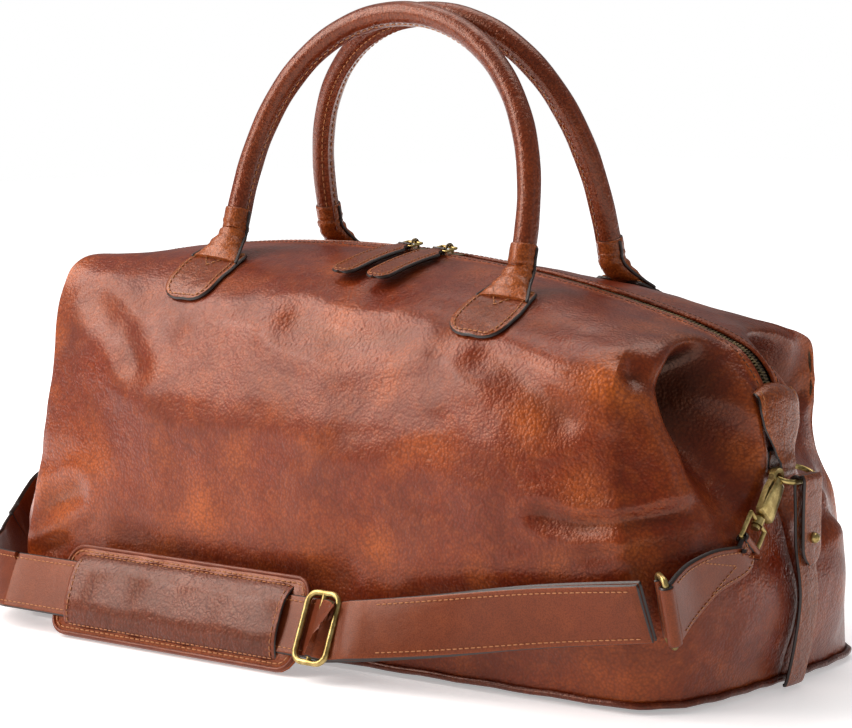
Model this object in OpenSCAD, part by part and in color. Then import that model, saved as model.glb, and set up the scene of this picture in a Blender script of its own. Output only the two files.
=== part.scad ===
/* [Body] */
// Length of the base
base_l = 550; // [440:1:660]
// Depth of the base, front to back
base_w = 254; // [205:1:310]
// Height of the zip's crest at its peak
crest_z = 272; // [225:1:330]
// Place of the crest's peak along the bag
crest_x = -70; // [-90:1:0]
// Radius of the crest's arc
crest_r = 1100; // [900:10:1400]
// Thickness of the body leather
leather_t = 2.4; // [1.6:0.1:3]
// Thickness of the base panel
base_t = 3; // [2:0.1:4]
// Thickness of the base stiffener
board_t = 2.5; // [1.5:0.1:3]
// Thickness of the lining cloth
lining_t = 0.8; // [0.5:0.1:1]
// Diameter of the welt round the base
welt_d = 4; // [3:0.1:5]

/* [Zip] */
// Width of the slot between the two leather edges
zip_gap = 14; // [13:0.5:18]
// Width of each zip tape
tape_w = 14; // [10:0.5:16]
// Thickness of the zip tape
tape_t = 0.7; // [0.5:0.1:1]
// Width of one row of teeth
teeth_w = 3; // [2.5:0.1:3.5]
// Height of the teeth
teeth_h = 3; // [2.5:0.1:3.5]
// Length of a slider
slider_l = 20; // [16:0.5:22]
// Place of the left slider along the bag
slider_left_x = -5; // [-15:1:-2]
// Place of the right slider along the bag
slider_right_x = 25; // [22:1:35]
// Length of a leather pull
pull_l = 72; // [50:1:80]
// Width of a leather pull
pull_w = 19; // [14:0.5:22]
// Thickness of a leather pull
pull_t = 3; // [2:0.1:3.5]

/* [Handles] */
// Distance between the two necks of a handle
neck_span = 249; // [210:1:290]
// Distance of a neck from the bag's middle plane
neck_y = 54; // [50:0.5:64]
// Height of a neck above the crest line
neck_rise = 6; // [4:0.5:10]
// Height of a handle above its necks
handle_h = 168; // [130:1:190]
// Outside diameter of the rolled handle
handle_d = 16; // [12:0.5:18]
// Thickness of the handle's leather cover
handle_skin = 1.8; // [1.2:0.1:2.5]
// Width of a handle patch
patch_w = 44; // [34:1:48]
// Length of a handle patch down the bag
patch_l = 60; // [45:1:66]
// Thickness of a handle patch
patch_t = 3; // [2:0.1:3.5]

/* [Ends] */
// Height of the rings at the ends
ring_z = 137; // [115:1:140]
// Diameter of the ring wire
ring_wire = 3.5; // [3:0.1:4]
// Half length of the straight stretch of a ring
ring_half = 11; // [9:0.5:14]
// Radius of the ring's round ends, to the wire's middle
ring_r = 9; // [8:0.5:11]
// Tilt of the rings, outer side down
ring_tilt = 20; // [10:1:30]
// Width of an end strap
end_strap_w = 20; // [16:0.5:21]
// Thickness of an end strap
end_strap_t = 2.5; // [2:0.1:3]
// Length of the folded flap below the ring
flap_l = 52; // [44:1:60]
// Distance of the stud below the ring
stud_drop = 36; // [30:1:40]
// Diameter of the stud's head
stud_d = 7; // [6:0.5:8]
// Width of the zip end tab at its top
tab_w = 46; // [36:1:50]
// Height of the zip end tab above the ring
tab_h = 51; // [44:1:56]

/* [Shoulder strap] */
// Width of the strap
strap_w = 38; // [30:1:40]
// Thickness of the strap
strap_t = 3; // [2:0.1:3.5]
// Length of the shoulder pad
pad_l = 225; // [180:1:245]
// Height of the shoulder pad as it stands
pad_h = 65; // [56:1:72]
// Thickness of the pad's base leather
pad_t = 2.5; // [2:0.1:3]
// Thickness of the pad's foam
foam_t = 5; // [3:0.5:6]
// Wire of the buckle and the rectangular ring
buckle_wire = 4; // [3:0.1:4.5]
// Length of a snap hook, ring to swivel eye
hook_l = 40; // [36:1:46]
// Thickness of a snap hook
hook_t = 4; // [3.6:0.1:5]

/* [Clearances] */
// Gap between sewn layers
seam_gap = 0.6; // [0.3:0.1:1]
// Gap between pieces that move past each other
move_gap = 0.5; // [0.4:0.1:1]
// Radial clearance of a pin in its hole
pin_gap = 0.06; // [0.02:0.01:0.1]

/* [Hidden] */

cognac = "#8B4A32";
dark_leather = "#5A2A1E";
strap_brown = "#6E3426";
edge_black = "#1E1614";
antique_brass = "#A08D58";
cloth = "#6B5A4A";

half_l = base_l / 2;
half_w = base_w / 2;
kx = half_l / 275;
ky = half_w / 127;
kz = crest_z / 272;
crest_low = crest_z - crest_r;
neck_x = neck_span / 2;
// How finely the control columns and rows are drawn out
front_steps = 16;
end_steps = 2;
row_steps = 2;
panel_z = base_t;

// Height of the zip's crest line above a place along the bag
function crest(x) = crest_low + sqrt(crest_r * crest_r - (x - crest_x) * (x - crest_x));
function mean_crest(x) = (crest(x) + crest(-x)) / 2;
function lift(x, z) = (crest(x) - mean_crest(x)) * pow(z / crest_z, 2);

// A smooth curve through points, n steps between neighbours
function blend3(a, b, c, d, t) = 0.5 * (2 * b + (c - a) * t + (2 * a - 5 * b + 4 * c - d) * t * t
  + (3 * b - a - 3 * c + d) * t * t * t);
function smooth(p, n) = [for (i = [0:len(p) - 2]) for (k = [0:n - 1])
  blend3(p[max(i - 1, 0)], p[i], p[i + 1], p[min(i + 2, len(p) - 1)], k / n), p[len(p) - 1]];
function unit(v) = v / norm(v);
function flat(l) = [for (a = l) for (b = a) b];
function mix(a, b, t) = a + (b - a) * t;

// The skin's control columns, from the base up: middle of the front as [y, z], then the right
// end's corner, turn, recess, gusset ridge and middle as [x, y, z]
mid_column = [[-127, 3], [-134, 55], [-136, 115], [-131, 172], [-113, 221], [-82, 247],
  [-42, 261], [-7, 268]];
corner_column = [[260, -124, 3], [262, -126, 57], [252, -125, 110], [243, -120, 160],
  [237, -111, 212], [226, -78, 234], [214, -42, 244], [222, -7, 240]];
turn_column = [[280, -103, 3], [285, -101, 57], [274, -96, 110], [258, -86, 158],
  [244, -76, 206], [232, -60, 228], [232, -33, 236], [246, -7, 234]];
recess_column = [[288, -68, 3], [297, -65, 57], [287, -60, 108], [264, -50, 150],
  [246, -44, 186], [243, -36, 209], [262, -21, 223], [266, -7, 224]];
ridge_column = [[290, -30, 3], [301, -28, 57], [292, -26, 108], [284, -22, 140],
  [283, -19, 164], [283, -14, 184], [282.5, -9, 192], [282, -7, 197]];
end_column = [[291, 0, 3], [303, 0, 57], [293, 0, 104], [284, 0, 132], [282, 0, 152],
  [281.5, 0, 168], [281.5, 0, 180], [282, 0, 187]];
rows = len(mid_column);

// A control point in the bag's own size, with the crest's slope added
function placed(p) = [p[0] * kx, p[1] * ky,
  p[2] <= panel_z ? panel_z : p[2] * kz + lift(p[0] * kx, p[2] * kz)];
function top_edge(p) = [p[0], p[1] < 0 ? -zip_gap / 2 : zip_gap / 2, crest(p[0]) - 2];
function front_point(c, i) = let (corner = corner_column[i], a = pow(abs(c), 4), b = pow(abs(c), 3),
  p = placed([c * corner[0], mix(mid_column[i][0], corner[1], a), mix(mid_column[i][1], corner[2], b)]))
  i == rows - 1 ? top_edge(p) : p;
function flip_x(p) = [-p[0], p[1], p[2]];
function flip_y(p) = [p[0], -p[1], p[2]];

front_control = [for (k = [0:front_steps]) let (c = 2 * k / front_steps - 1)
  [for (i = [0:rows - 1]) front_point(c, i)]];
end_columns = [turn_column, recess_column, ridge_column, end_column];
function mirrored_y(col) = [for (p = col) flip_y(p)];
// One end, from the front corner round to the back one, without the corners themselves
function end_across(corner, side) = let (half = [for (col = end_columns) [for (p = col)
  placed([side * p[0], p[1], p[2]])]],
  cols = concat([corner], half, [for (k = [2:-1:0]) mirrored_y(half[k])], [mirrored_y(corner)]))
  [for (k = [1:8 * end_steps - 1]) [for (i = [0:rows - 1])
    smooth([for (col = cols) col[i]], end_steps)[k]]];
right_control = end_across(front_control[front_steps], 1);
left_front = end_across(front_control[0], -1);
back_control = [for (k = [0:front_steps]) mirrored_y(front_control[front_steps - k])];
left_control = [for (k = [len(left_front) - 1:-1:0]) left_front[k]];
// Every column once round the bag: front, right end, back, left end
columns = [for (col = concat(front_control, right_control, back_control, left_control))
  smooth(col, row_steps)];
n_col = len(columns);
n_row = len(columns[0]);
// The seams between front and back run up the middle of each end
right_seam = front_steps + 4 * end_steps;
left_seam = right_seam + front_steps + 8 * end_steps;
top_row = n_row - 1;

function normal_at(j, i) = let (next = columns[(j + 1) % n_col], last = columns[(j + n_col - 1) % n_col],
  here = columns[j])
  unit(cross(next[i] - last[i], here[min(i + 1, top_row)] - here[max(i - 1, 0)]));
normals = [for (j = [0:n_col - 1]) [for (i = [0:top_row]) normal_at(j, i)]];
// The skin's surface pushed in by a depth; its lowest row stays level
function inward(j, i, depth, floor_z) = let (k = (j + n_col) % n_col, p = columns[k][i] - normals[k][i] * depth)
  i == 0 ? [p[0], p[1], floor_z] : p;
function layer(from, to, depth, floor_z, last) = [for (j = [from:to])
  [for (i = [0:last]) inward(j, i, depth, floor_z)]];

// A sheet of cloth or leather between two layers of points; wrap closes it round
module sheet(outer, inner, wrap = false) {
  n = len(outer);
  m = len(outer[0]);
  c = wrap ? n : n - 1;
  function at(j, i, side) = side * n * m + (j % n) * m + i;
  quads = concat(
    [for (j = [0:c - 1]) for (i = [0:m - 2])
      [at(j, i, 0), at(j, i + 1, 0), at(j + 1, i + 1, 0), at(j + 1, i, 0)]],
    [for (j = [0:c - 1]) for (i = [0:m - 2])
      [at(j, i, 1), at(j + 1, i, 1), at(j + 1, i + 1, 1), at(j, i + 1, 1)]],
    [for (j = [0:c - 1]) [at(j, 0, 0), at(j + 1, 0, 0), at(j + 1, 0, 1), at(j, 0, 1)]],
    [for (j = [0:c - 1])
      [at(j, m - 1, 0), at(j, m - 1, 1), at(j + 1, m - 1, 1), at(j + 1, m - 1, 0)]],
    wrap ? [] : [for (i = [0:m - 2]) [at(0, i, 0), at(0, i, 1), at(0, i + 1, 1), at(0, i + 1, 0)]],
    wrap ? [] : [for (i = [0:m - 2])
      [at(n - 1, i, 0), at(n - 1, i + 1, 0), at(n - 1, i + 1, 1), at(n - 1, i, 1)]]);
  polyhedron(flat(concat(outer, inner)), flat([for (q = quads) [[q[0], q[1], q[2]], [q[0], q[2], q[3]]]]));
}

// A solid swept through rings of points; loop joins the last ring to the first
module swept(rings, loop = false) {
  n = len(rings);
  m = len(rings[0]);
  walls = [for (j = [0:(loop ? n : n - 1) - 1]) for (i = [0:m - 1])
    let (a = j * m + i, b = j * m + (i + 1) % m, c = ((j + 1) % n) * m + (i + 1) % m, d = ((j + 1) % n) * m + i)
    each [[a, b, c], [a, c, d]]];
  caps = loop ? [] : concat([for (i = [1:m - 2]) [0, i + 1, i]],
    [for (i = [1:m - 2]) [(n - 1) * m, (n - 1) * m + i, (n - 1) * m + i + 1]]);
  polyhedron(flat(rings), concat(walls, caps));
}

module panel(from, to) {
  color(cognac)
    sheet(layer(from, to, 0, panel_z, top_row), layer(from, to, leather_t, panel_z, top_row));
}
module front_panel() { panel(left_seam - n_col, right_seam); }
module back_panel() { panel(right_seam, left_seam); }

// The base's outline, let in or out by a distance
function base_outline(out) = [for (j = [0:n_col - 1]) let (p = columns[j][0], q = normals[j][0],
  d = unit([q[0], q[1]])) [p[0] + d[0] * out, p[1] + d[1] * out]];
module base_panel() { color(dark_leather) linear_extrude(base_t) polygon(base_outline(0)); }
module base_board() {
  color(cloth) translate([0, 0, base_t])
    linear_extrude(board_t) polygon(base_outline(-leather_t - seam_gap));
}
module lining_floor() {
  color(cloth) translate([0, 0, base_t + board_t])
    linear_extrude(lining_t) polygon(base_outline(-leather_t - seam_gap));
}
module base_welt() {
  r = welt_d / 2;
  path = base_outline(r + seam_gap);
  color(edge_black) swept([for (j = [0:n_col - 1]) let (q = normals[j][0], d = unit([q[0], q[1]]))
    [for (k = [0:5]) [path[j][0] + d[0] * r * cos(60 * k), path[j][1] + d[1] * r * cos(60 * k),
      base_t + 1 + r * sin(60 * k)]]], true);
}
// The lining stops short of the zip, under the tapes
module lining() {
  low = base_t + board_t + lining_t;
  near = leather_t + seam_gap;
  color(cloth) sheet(layer(0, n_col - 1, near, low, top_row - 3),
    layer(0, n_col - 1, near + lining_t, low, top_row - 3), true);
}

// The zip's run along the top and down both ends, as [x, z] of the leather's edge
zip_run = [for (j = [left_seam - n_col + end_steps:right_seam - end_steps])
  columns[(j + n_col) % n_col][top_row]];
zip_line = [for (p = zip_run) [p[0], p[2]]];
function zip_turn(k) = unit(zip_line[min(k + 1, len(zip_line) - 1)] - zip_line[max(k - 1, 0)]);
// A strip that follows the zip on one side, t thick: its inner edge at a depth under the
// leather's top, its outer edge lower by fall, and its width drawn in towards both ends
function end_share(k, narrow) = min(1, narrow + 0.2 * min(k, len(zip_line) - 1 - k));
module zip_strip(side, inner, width, depth, fall, t, narrow) {
  swept([for (k = [0:len(zip_line) - 1]) let (d = zip_turn(k), n = [-d[1], d[0]],
    share = end_share(k, narrow), y0 = side * inner, y1 = side * (inner + width * share),
    a = zip_line[k] - n * depth, b = a - n * fall * share, c = n * t,
    ring = [[a[0], y0, a[1]], [b[0], y1, b[1]], [b[0] - c[0], y1, b[1] - c[1]],
      [a[0] - c[0], y0, a[1] - c[1]]]) side < 0 ? [for (i = [3:-1:0]) ring[i]] : ring]);
}
teeth_split = 0.6;
tape_in = teeth_split + teeth_w;
tape_depth = leather_t + seam_gap;
teeth_depth = tape_depth + tape_t / 2 - teeth_h / 2;
// The tape's sewn edge lies deeper, as the shoulder falls away from the zip
tape_fall = tape_w * 0.22;
module zip_tape(side) { color("#33261F") zip_strip(side, tape_in, tape_w, tape_depth, tape_fall, tape_t, 0.3); }
module zip_teeth(side) { color("#6B6459") zip_strip(side, teeth_split, teeth_w, teeth_depth, 0, teeth_h, 1); }
module zip_tape_front() { zip_tape(-1); }
module zip_tape_back() { zip_tape(1); }
module zip_teeth_front() { zip_teeth(-1); }
module zip_teeth_back() { zip_teeth(1); }

// Places a piece on the crest at x, turned to its slope
module on_crest(x) {
  translate([crest_x, 0, crest_low]) rotate([0, asin((x - crest_x) / crest_r), 0])
    translate([0, 0, crest_r - 2]) children();
}
slider_w = 10;
plate_t = 1.8;
slider_top = -teeth_depth + move_gap;
slider_low = -teeth_depth - teeth_h - move_gap;
bail_r = 4;
bail_wire = 2;
bail_rise = 2;
link_wire = 2;
link_l = 12;
// Two plates over and under the teeth, a thin blade between them and a bail on top
module slider(x) {
  color("#8A7F6A") on_crest(x) {
    translate([-slider_l / 2, -slider_w / 2, slider_top]) cube([slider_l, slider_w, plate_t]);
    translate([-slider_l / 2, -slider_w / 2, slider_low - plate_t])
      cube([slider_l, slider_w, plate_t]);
    translate([-slider_l / 2, -0.25, slider_low]) cube([slider_l, 0.5, slider_top - slider_low]);
    for (y = [-bail_r, bail_r]) translate([0, y, slider_top + plate_t - 0.5])
      cylinder(d = bail_wire, h = bail_rise + 0.5, $fn = 20);
    translate([0, 0, slider_top + plate_t + bail_rise]) rotate([90, 0, 90])
      rotate_extrude(angle = 180, $fn = 32) translate([bail_r, 0]) circle(d = bail_wire, $fn = 20);
  }
}
module slider_left() { slider(slider_left_x); }
module slider_right() { slider(slider_right_x); }
link_z = slider_top + plate_t + bail_rise + bail_r - bail_wire / 2 - link_wire / 2 - 0.05;
pull_slope = 8;
// A wire loop through the bail, lying forward
module pull_frame(x) { on_crest(x) translate([0, 0, link_z]) rotate([pull_slope, 0, 0]) children(); }
module pull_link(x) {
  color("#8A7F6A") pull_frame(x) {
    for (y = [0, -link_l]) translate([-6, y, 0]) rotate([0, 90, 0])
      cylinder(d = link_wire, h = 12, $fn = 20);
    for (s = [-6, 6]) translate([s, 0, 0]) rotate([90, 0, 0])
      cylinder(d = link_wire, h = link_l, $fn = 20);
    for (s = [-6, 6]) for (y = [0, -link_l]) translate([s, y, 0]) sphere(d = link_wire, $fn = 20);
  }
}
module pull_link_left() { pull_link(slider_left_x); }
module pull_link_right() { pull_link(slider_right_x); }
// A doubled leather strip folded round the link, with a rounded tip
module pull_tab(x) {
  fold_in = link_wire / 2 + 0.15;
  fold_out = fold_in + 1.6;
  eye_w = 9.6;
  color(cognac) pull_frame(x) translate([0, -link_l, 0]) {
    difference() {
      rotate([0, 90, 0]) translate([0, 0, -eye_w / 2]) cylinder(r = fold_out, h = eye_w, $fn = 32);
      rotate([0, 90, 0]) translate([0, 0, -eye_w]) cylinder(r = fold_in, h = 2 * eye_w, $fn = 32);
    }
    translate([-eye_w / 2, -fold_out - 6, -pull_t / 2]) cube([eye_w, 6.4, pull_t]);
    translate([-pull_w / 2, -pull_l + pull_w / 2, -pull_t / 2])
      cube([pull_w, pull_l - pull_w / 2 - fold_out - 4, pull_t]);
    translate([0, -pull_l + pull_w / 2, -pull_t / 2]) cylinder(d = pull_w, h = pull_t, $fn = 48);
  }
}
module pull_tab_left() { pull_tab(slider_left_x); }
module pull_tab_right() { pull_tab(slider_right_x); }

// The handles: a half ellipse on two necks, leaning in until the two nearly touch
lean_gap = 0.8;
function neck_z(x) = crest(x) + neck_rise;
lean = asin((neck_y - handle_d / 2 - lean_gap / 2) / handle_h);
handle_lift = handle_d / 2 + move_gap;
// Middle line of a handle: a runs from 0 at the left neck to 180 at the right one
function handle_point(a, side) = let (u = pow(max(sin(a), 0), 0.8) * handle_h,
  x = -cos(a) * neck_x)
  [x, side * (neck_y - u * sin(lean)), mix(neck_z(-neck_x), neck_z(neck_x), (1 - cos(a)) / 2)
    + u * cos(lean)];
// A ring of the handle's tube; a shift along it and a smaller radius round its ends into balls
function handle_ring(a, side, r, n, shift) = let (p = handle_point(a, side),
  d = unit(handle_point(a + 1, side) - handle_point(a - 1, side)),
  w = [0, side * cos(lean), sin(lean)], u = unit(cross(d, w)), v = cross(u, d))
  [for (k = [0:n - 1]) p + d * shift + (u * cos(360 * k / n) + v * sin(360 * k / n)) * r];
ball_steps = [75, 50, 25];
handle_steps = 24;
function handle_rings(side, r, n) = concat(
  [for (b = ball_steps) handle_ring(0, side, r * cos(b), n, -r * sin(b))],
  [for (k = [0:handle_steps]) handle_ring(k * 180 / handle_steps, side, r, n, 0)],
  [for (k = [2:-1:0]) handle_ring(180, side, r * cos(ball_steps[k]), n, r * sin(ball_steps[k]))]);
handle_sides = 14;
module handle_cover(side) {
  inner_r = handle_d / 2 - handle_skin;
  color(cognac) sheet([for (k = [0:handle_sides - 1]) [for (ring = handle_rings(side, handle_d / 2,
    handle_sides)) ring[handle_sides - 1 - k]]], [for (k = [0:handle_sides - 1])
    [for (ring = handle_rings(side, inner_r, handle_sides)) ring[handle_sides - 1 - k]]], true);
}
module handle_cover_front() { handle_cover(-1); }
module handle_cover_back() { handle_cover(1); }
module handle_core(side) {
  color("#C8B48C") swept([for (ring = handle_rings(side, handle_d / 2 - handle_skin - 0.4, 10))
    [for (k = [0:9]) ring[k]]]);
}
module handle_core_front() { handle_core(-1); }
module handle_core_back() { handle_core(1); }

// The skin's section across the bag at x, as points [y, z] in the rows used by the patches
function skin_point(x, t) = let (c = x / (corner_column[4][0] * kx),
  p = smooth([for (i = [0:rows - 1]) front_point(c, i)], 10), k = t * 10, i = floor(k))
  mix(p[i], p[i + 1], k - i);
function skin_spot(x, t) = let (p = skin_point(x, t)) [x, p[1], p[2]];
function skin_out(x, t) = unit(cross(skin_spot(x + 2, t) - skin_spot(x - 2, t),
  skin_spot(x, t + 0.05) - skin_spot(x, t - 0.05)));
// A teardrop patch on the shoulder: t counts rows from the base; its neck rises to the handle
patch_top = 5.62;
patch_low = patch_top - patch_l / 43;
function patch_half(s) = patch_w / 2 * (s < 0.55 ? sqrt(1 - pow((0.55 - s) / 0.56, 2))
  : mix(1, 0.36, pow((s - 0.55) / 0.45, 1.3)));
module patch(side_x, side_y) {
  n = 12;
  x0 = side_x * neck_x;
  function spot(s, a, out) = let (x = x0 + a * patch_half(s), t = mix(patch_low, patch_top, s))
    skin_spot(x, t) + skin_out(x, t) * out;
  grid = function (out) [for (a = [-1:0.25:1]) [for (k = [0:n]) spot(k / n, a, out)]];
  top = skin_spot(x0, patch_top) + skin_out(x0, patch_top) * (seam_gap + patch_t / 2);
  neck = [x0, -neck_y, neck_z(x0)];
  up = unit(neck - top);
  side = unit(cross([0, 1, 0], up));
  neck_end = neck - up * (handle_lift + 1);
  color(dark_leather) mirror([0, side_y > 0 ? 1 : 0, 0]) {
    sheet(grid(seam_gap + patch_t), grid(seam_gap));
    // The rolled neck, narrowing to the handle
    hull() {
      for (s = [-6, 6]) translate(top + [s, 0, 0]) sphere(d = patch_t - 0.2, $fn = 16);
      for (k = [0:30:330]) translate(neck_end + (side * cos(k) + cross(up, side) * sin(k)) * 4.6)
        sphere(r = 1, $fn = 12);
    }
  }
}
module patch_front_left() { patch(-1, -1); }
module patch_front_right() { patch(1, -1); }
module patch_back_left() { patch(-1, 1); }
module patch_back_right() { patch(1, 1); }

// The ends: everything is drawn at the right end and mirrored for the left one
module left_end() { mirror([1, 0, 0]) children(); }
function end_surface(z) = lookup(z, [for (p = end_column) [p[2] * kz, p[0] * kx]]);
ring_inner_x = end_surface(ring_z) + seam_gap + 6;
wire_r = ring_wire / 2;
wire_gap = 0.3;
tab_t = 2;
ring_x = ring_inner_x + ring_r * cos(ring_tilt);
outer_x = ring_x + ring_r * cos(ring_tilt);
outer_z = ring_z - ring_r * sin(ring_tilt);
inner_x = ring_x - ring_r * cos(ring_tilt);
inner_z = ring_z + ring_r * sin(ring_tilt);
module ring() {
  color(antique_brass) translate([ring_x, 0, ring_z]) rotate([0, ring_tilt, 0]) {
    for (s = [-1, 1]) translate([s * ring_r, -ring_half, 0]) rotate([-90, 0, 0])
      cylinder(d = ring_wire, h = 2 * ring_half, $fn = 24);
    for (s = [0, 180]) rotate([0, 0, s]) translate([0, ring_half, 0])
      rotate_extrude(angle = 180, $fn = 48) translate([ring_r, 0]) circle(d = ring_wire, $fn = 24);
  }
}
module ring_right() { ring(); }
module ring_left() { left_end() ring(); }

// The tab over the zip's end: a flat cap, tapering to a loop round the ring's inner wire
tab_x = inner_x - wire_r - wire_gap - tab_t;
module zip_end_tab() {
  loop_r = wire_r + wire_gap;
  neck_w = 15;
  top_z = ring_z + tab_h;
  color(dark_leather) {
    translate([tab_x, 0, 0]) rotate([90, 0, 90]) linear_extrude(tab_t)
      polygon([[-neck_w / 2, inner_z + loop_r + 1], [neck_w / 2, inner_z + loop_r + 1],
        [neck_w / 2 + 2, inner_z + 14], [tab_w / 2, top_z - 14], [tab_w / 2 - 4, top_z - 3],
        [0, top_z + 3], [-tab_w / 2 + 4, top_z - 3], [-tab_w / 2, top_z - 14],
        [-neck_w / 2 - 2, inner_z + 14]]);
    difference() {
      union() {
        translate([inner_x, -neck_w / 2, inner_z]) rotate([-90, 0, 0])
          cylinder(r = loop_r + tab_t, h = neck_w, $fn = 40);
        translate([tab_x, -neck_w / 2, inner_z]) cube([tab_t, neck_w, loop_r + 3]);
      }
      translate([inner_x, -neck_w, inner_z]) rotate([-90, 0, 0])
        cylinder(r = loop_r, h = 2 * neck_w, $fn = 40);
    }
  }
}
module zip_end_tab_right() { zip_end_tab(); }
module zip_end_tab_left() { left_end() zip_end_tab(); }

// The end strap: up the end from the base, through the ring and over its outer wire
fold_r = wire_r + wire_gap;
strap_x = outer_x - fold_r - end_strap_t;
fold_from = 66;
function arc(r, a0, a1, n) = [for (k = [0:n]) let (a = mix(a0, a1, k / n))
  [outer_x + r * cos(a), outer_z + r * sin(a)]];
end_run = smooth([[end_surface(3) + seam_gap + welt_d + 1.2, 3],
  [end_surface(30 * kz) + 2.2, 30 * kz], [end_surface(57 * kz) + 1.6, 57 * kz],
  [end_surface(57 * kz) + 0.6, 84 * kz], [strap_x, outer_z - 12], [strap_x, outer_z]], 4);
module end_strap() {
  n = len(end_run);
  color(dark_leather) translate([0, end_strap_w / 2, 0]) rotate([90, 0, 0])
    linear_extrude(end_strap_w) polygon(concat(
      [for (p = end_run) p], arc(fold_r + end_strap_t, 178, fold_from, 8), arc(fold_r, fold_from, 180, 8),
      [for (k = [n - 2:-1:0]) end_run[k] + [end_strap_t, 0]]));
}
module end_strap_right() { end_strap(); }
module end_strap_left() { left_end() end_strap(); }

// The flap: hangs from the outer wire, buttoned on the stud through a slot
flap_x = outer_x + fold_r;
flap_gap = 0.4;
stud_z = outer_z - stud_drop;
module end_flap() {
  tip = end_strap_w / 2;
  color(dark_leather) difference() {
    translate([flap_x, 0, outer_z]) rotate([90, 0, 90]) linear_extrude(end_strap_t) union() {
      translate([-tip, -flap_l + tip]) square([end_strap_w, flap_l - tip - flap_gap]);
      translate([0, -flap_l + tip]) circle(r = tip, $fn = 48);
    }
    translate([flap_x - 1, 0, stud_z - 0.8]) rotate([0, 90, 0])
      cylinder(d = stud_d + 1.4, h = end_strap_t + 2, $fn = 32);
  }
}
module end_flap_right() { end_flap(); }
module end_flap_left() { left_end() end_flap(); }

// The collar stud: a foot on the strap, a neck through the flap and a ball head
function run_x(z) = lookup(z, [for (p = end_run) [p[1], p[0]]]);
module stud() {
  foot = run_x(stud_z) + end_strap_t;
  color(antique_brass) translate([foot, 0, stud_z]) rotate([0, 90, 0]) {
    cylinder(d = stud_d - 0.6, h = 0.8, $fn = 32);
    cylinder(d = stud_d / 2, h = flap_x + end_strap_t + stud_d / 2 - foot, $fn = 32);
    translate([0, 0, flap_x + end_strap_t + stud_d / 2 - foot]) sphere(d = stud_d, $fn = 32);
  }
}
module stud_right() { stud(); }
module stud_left() { left_end() stud(); }

// The snap hook, drawn flat: origin at the ring's wire, +X to the swivel eye
hook_y = -ring_half - ring_r;
hook_turn = 229;
loop_in = wire_r + 1.6;
loop_w = 3;
slot_t = 1.6;
pin_r = 1;
pin_u = 15;
module hook_frame() {
  translate([ring_x, hook_y, ring_z]) rotate([90, 0, 90]) rotate([0, 0, hook_turn]) children();
}
module hook_body() {
  color(antique_brass) hook_frame() difference() {
    union() {
      translate([0, 0, -hook_t / 2]) linear_extrude(hook_t) difference() {
        union() {
          circle(r = loop_in + loop_w, $fn = 48);
          polygon([[loop_in + 1, -5], [loop_in + 1, 5], [12, 6.5], [26, 5], [29, 3], [29, -3], [26, -5],
            [12, -6.5]]);
        }
        circle(r = loop_in, $fn = 48);
        rotate([0, 0, 60]) translate([0, -2.4]) square([12, 4.8]);
      }
      translate([28, 0, 0]) rotate([0, 90, 0]) cylinder(r = 1.7, h = hook_l - 28 - 1.5, $fn = 24);
      translate([hook_l - 3.4, 0, 0]) rotate([0, 90, 0]) cylinder(r = 2.8, h = 2, $fn = 24);
    }
    translate([loop_in - 1, -1, -slot_t / 2]) cube([18, 9, slot_t]);
    translate([pin_u, 2, -hook_t]) cylinder(r = pin_r, h = 2 * hook_t, $fn = 24);
  }
}
module hook_body_right() { hook_body(); }
module hook_body_left() { left_end() hook_body(); }
module trigger_pin() {
  color(antique_brass) hook_frame() translate([pin_u, 2, -hook_t / 2])
    cylinder(r = pin_r, h = hook_t, $fn = 24);
}
module trigger_pin_right() { trigger_pin(); }
module trigger_pin_left() { left_end() trigger_pin(); }
// The trigger closes the hook's mouth and turns on its pin
module trigger() {
  t = slot_t - 2 * 0.2;
  color("#B9A468") hook_frame() translate([0, 0, -t / 2]) linear_extrude(t) difference() {
    union() {
      translate([pin_u, 2]) circle(r = 2.6, $fn = 32);
      polygon([[pin_u - 2, 0.2], [pin_u, 4.6], [8.6, 7.8], [3.2, 6.6], [3.6, 4.2], [7.4, 4.2]]);
      polygon([[pin_u, 4.6], [pin_u + 2, 4], [pin_u + 3.6, 8.2], [pin_u + 1.4, 8.8]]);
    }
    translate([pin_u, 2]) circle(r = pin_r + pin_gap, $fn = 32);
  }
}
module trigger_right() { trigger(); }
module trigger_left() { left_end() trigger(); }

// The swivel eye: a collar on the hook's post and a loop for the leather
eye_w = 22;
eye_l = 13;
eye_wire = 3;
eye_bar = hook_l + eye_l - 2;
module swivel_eye() {
  post_r = 1.7 + pin_gap;
  color(antique_brass) hook_frame() {
    difference() {
      translate([hook_l - 9, 0, 0]) rotate([0, 90, 0]) cylinder(r = 4, h = 5, $fn = 32);
      translate([hook_l - 10, 0, 0]) rotate([0, 90, 0]) cylinder(r = post_r, h = 8, $fn = 32);
    }
    for (s = [-1, 1]) {
      translate([hook_l - 6.5, s * eye_w / 2, 0]) rotate([0, 90, 0])
        cylinder(d = eye_wire, h = eye_bar - hook_l + 6.5, $fn = 20);
      translate([hook_l - 6.5, s * 3.4, 0]) rotate([-s * 90, 0, 0])
        cylinder(d = eye_wire, h = eye_w / 2 - 3.4, $fn = 20);
      translate([hook_l - 6.5, s * eye_w / 2, 0]) sphere(d = eye_wire, $fn = 20);
      translate([eye_bar, s * eye_w / 2, 0]) sphere(d = eye_wire, $fn = 20);
    }
    translate([eye_bar, -eye_w / 2, 0]) rotate([-90, 0, 0])
      cylinder(d = eye_wire, h = eye_w, $fn = 20);
  }
}
module swivel_eye_right() { swivel_eye(); }
module swivel_eye_left() { left_end() swivel_eye(); }

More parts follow.
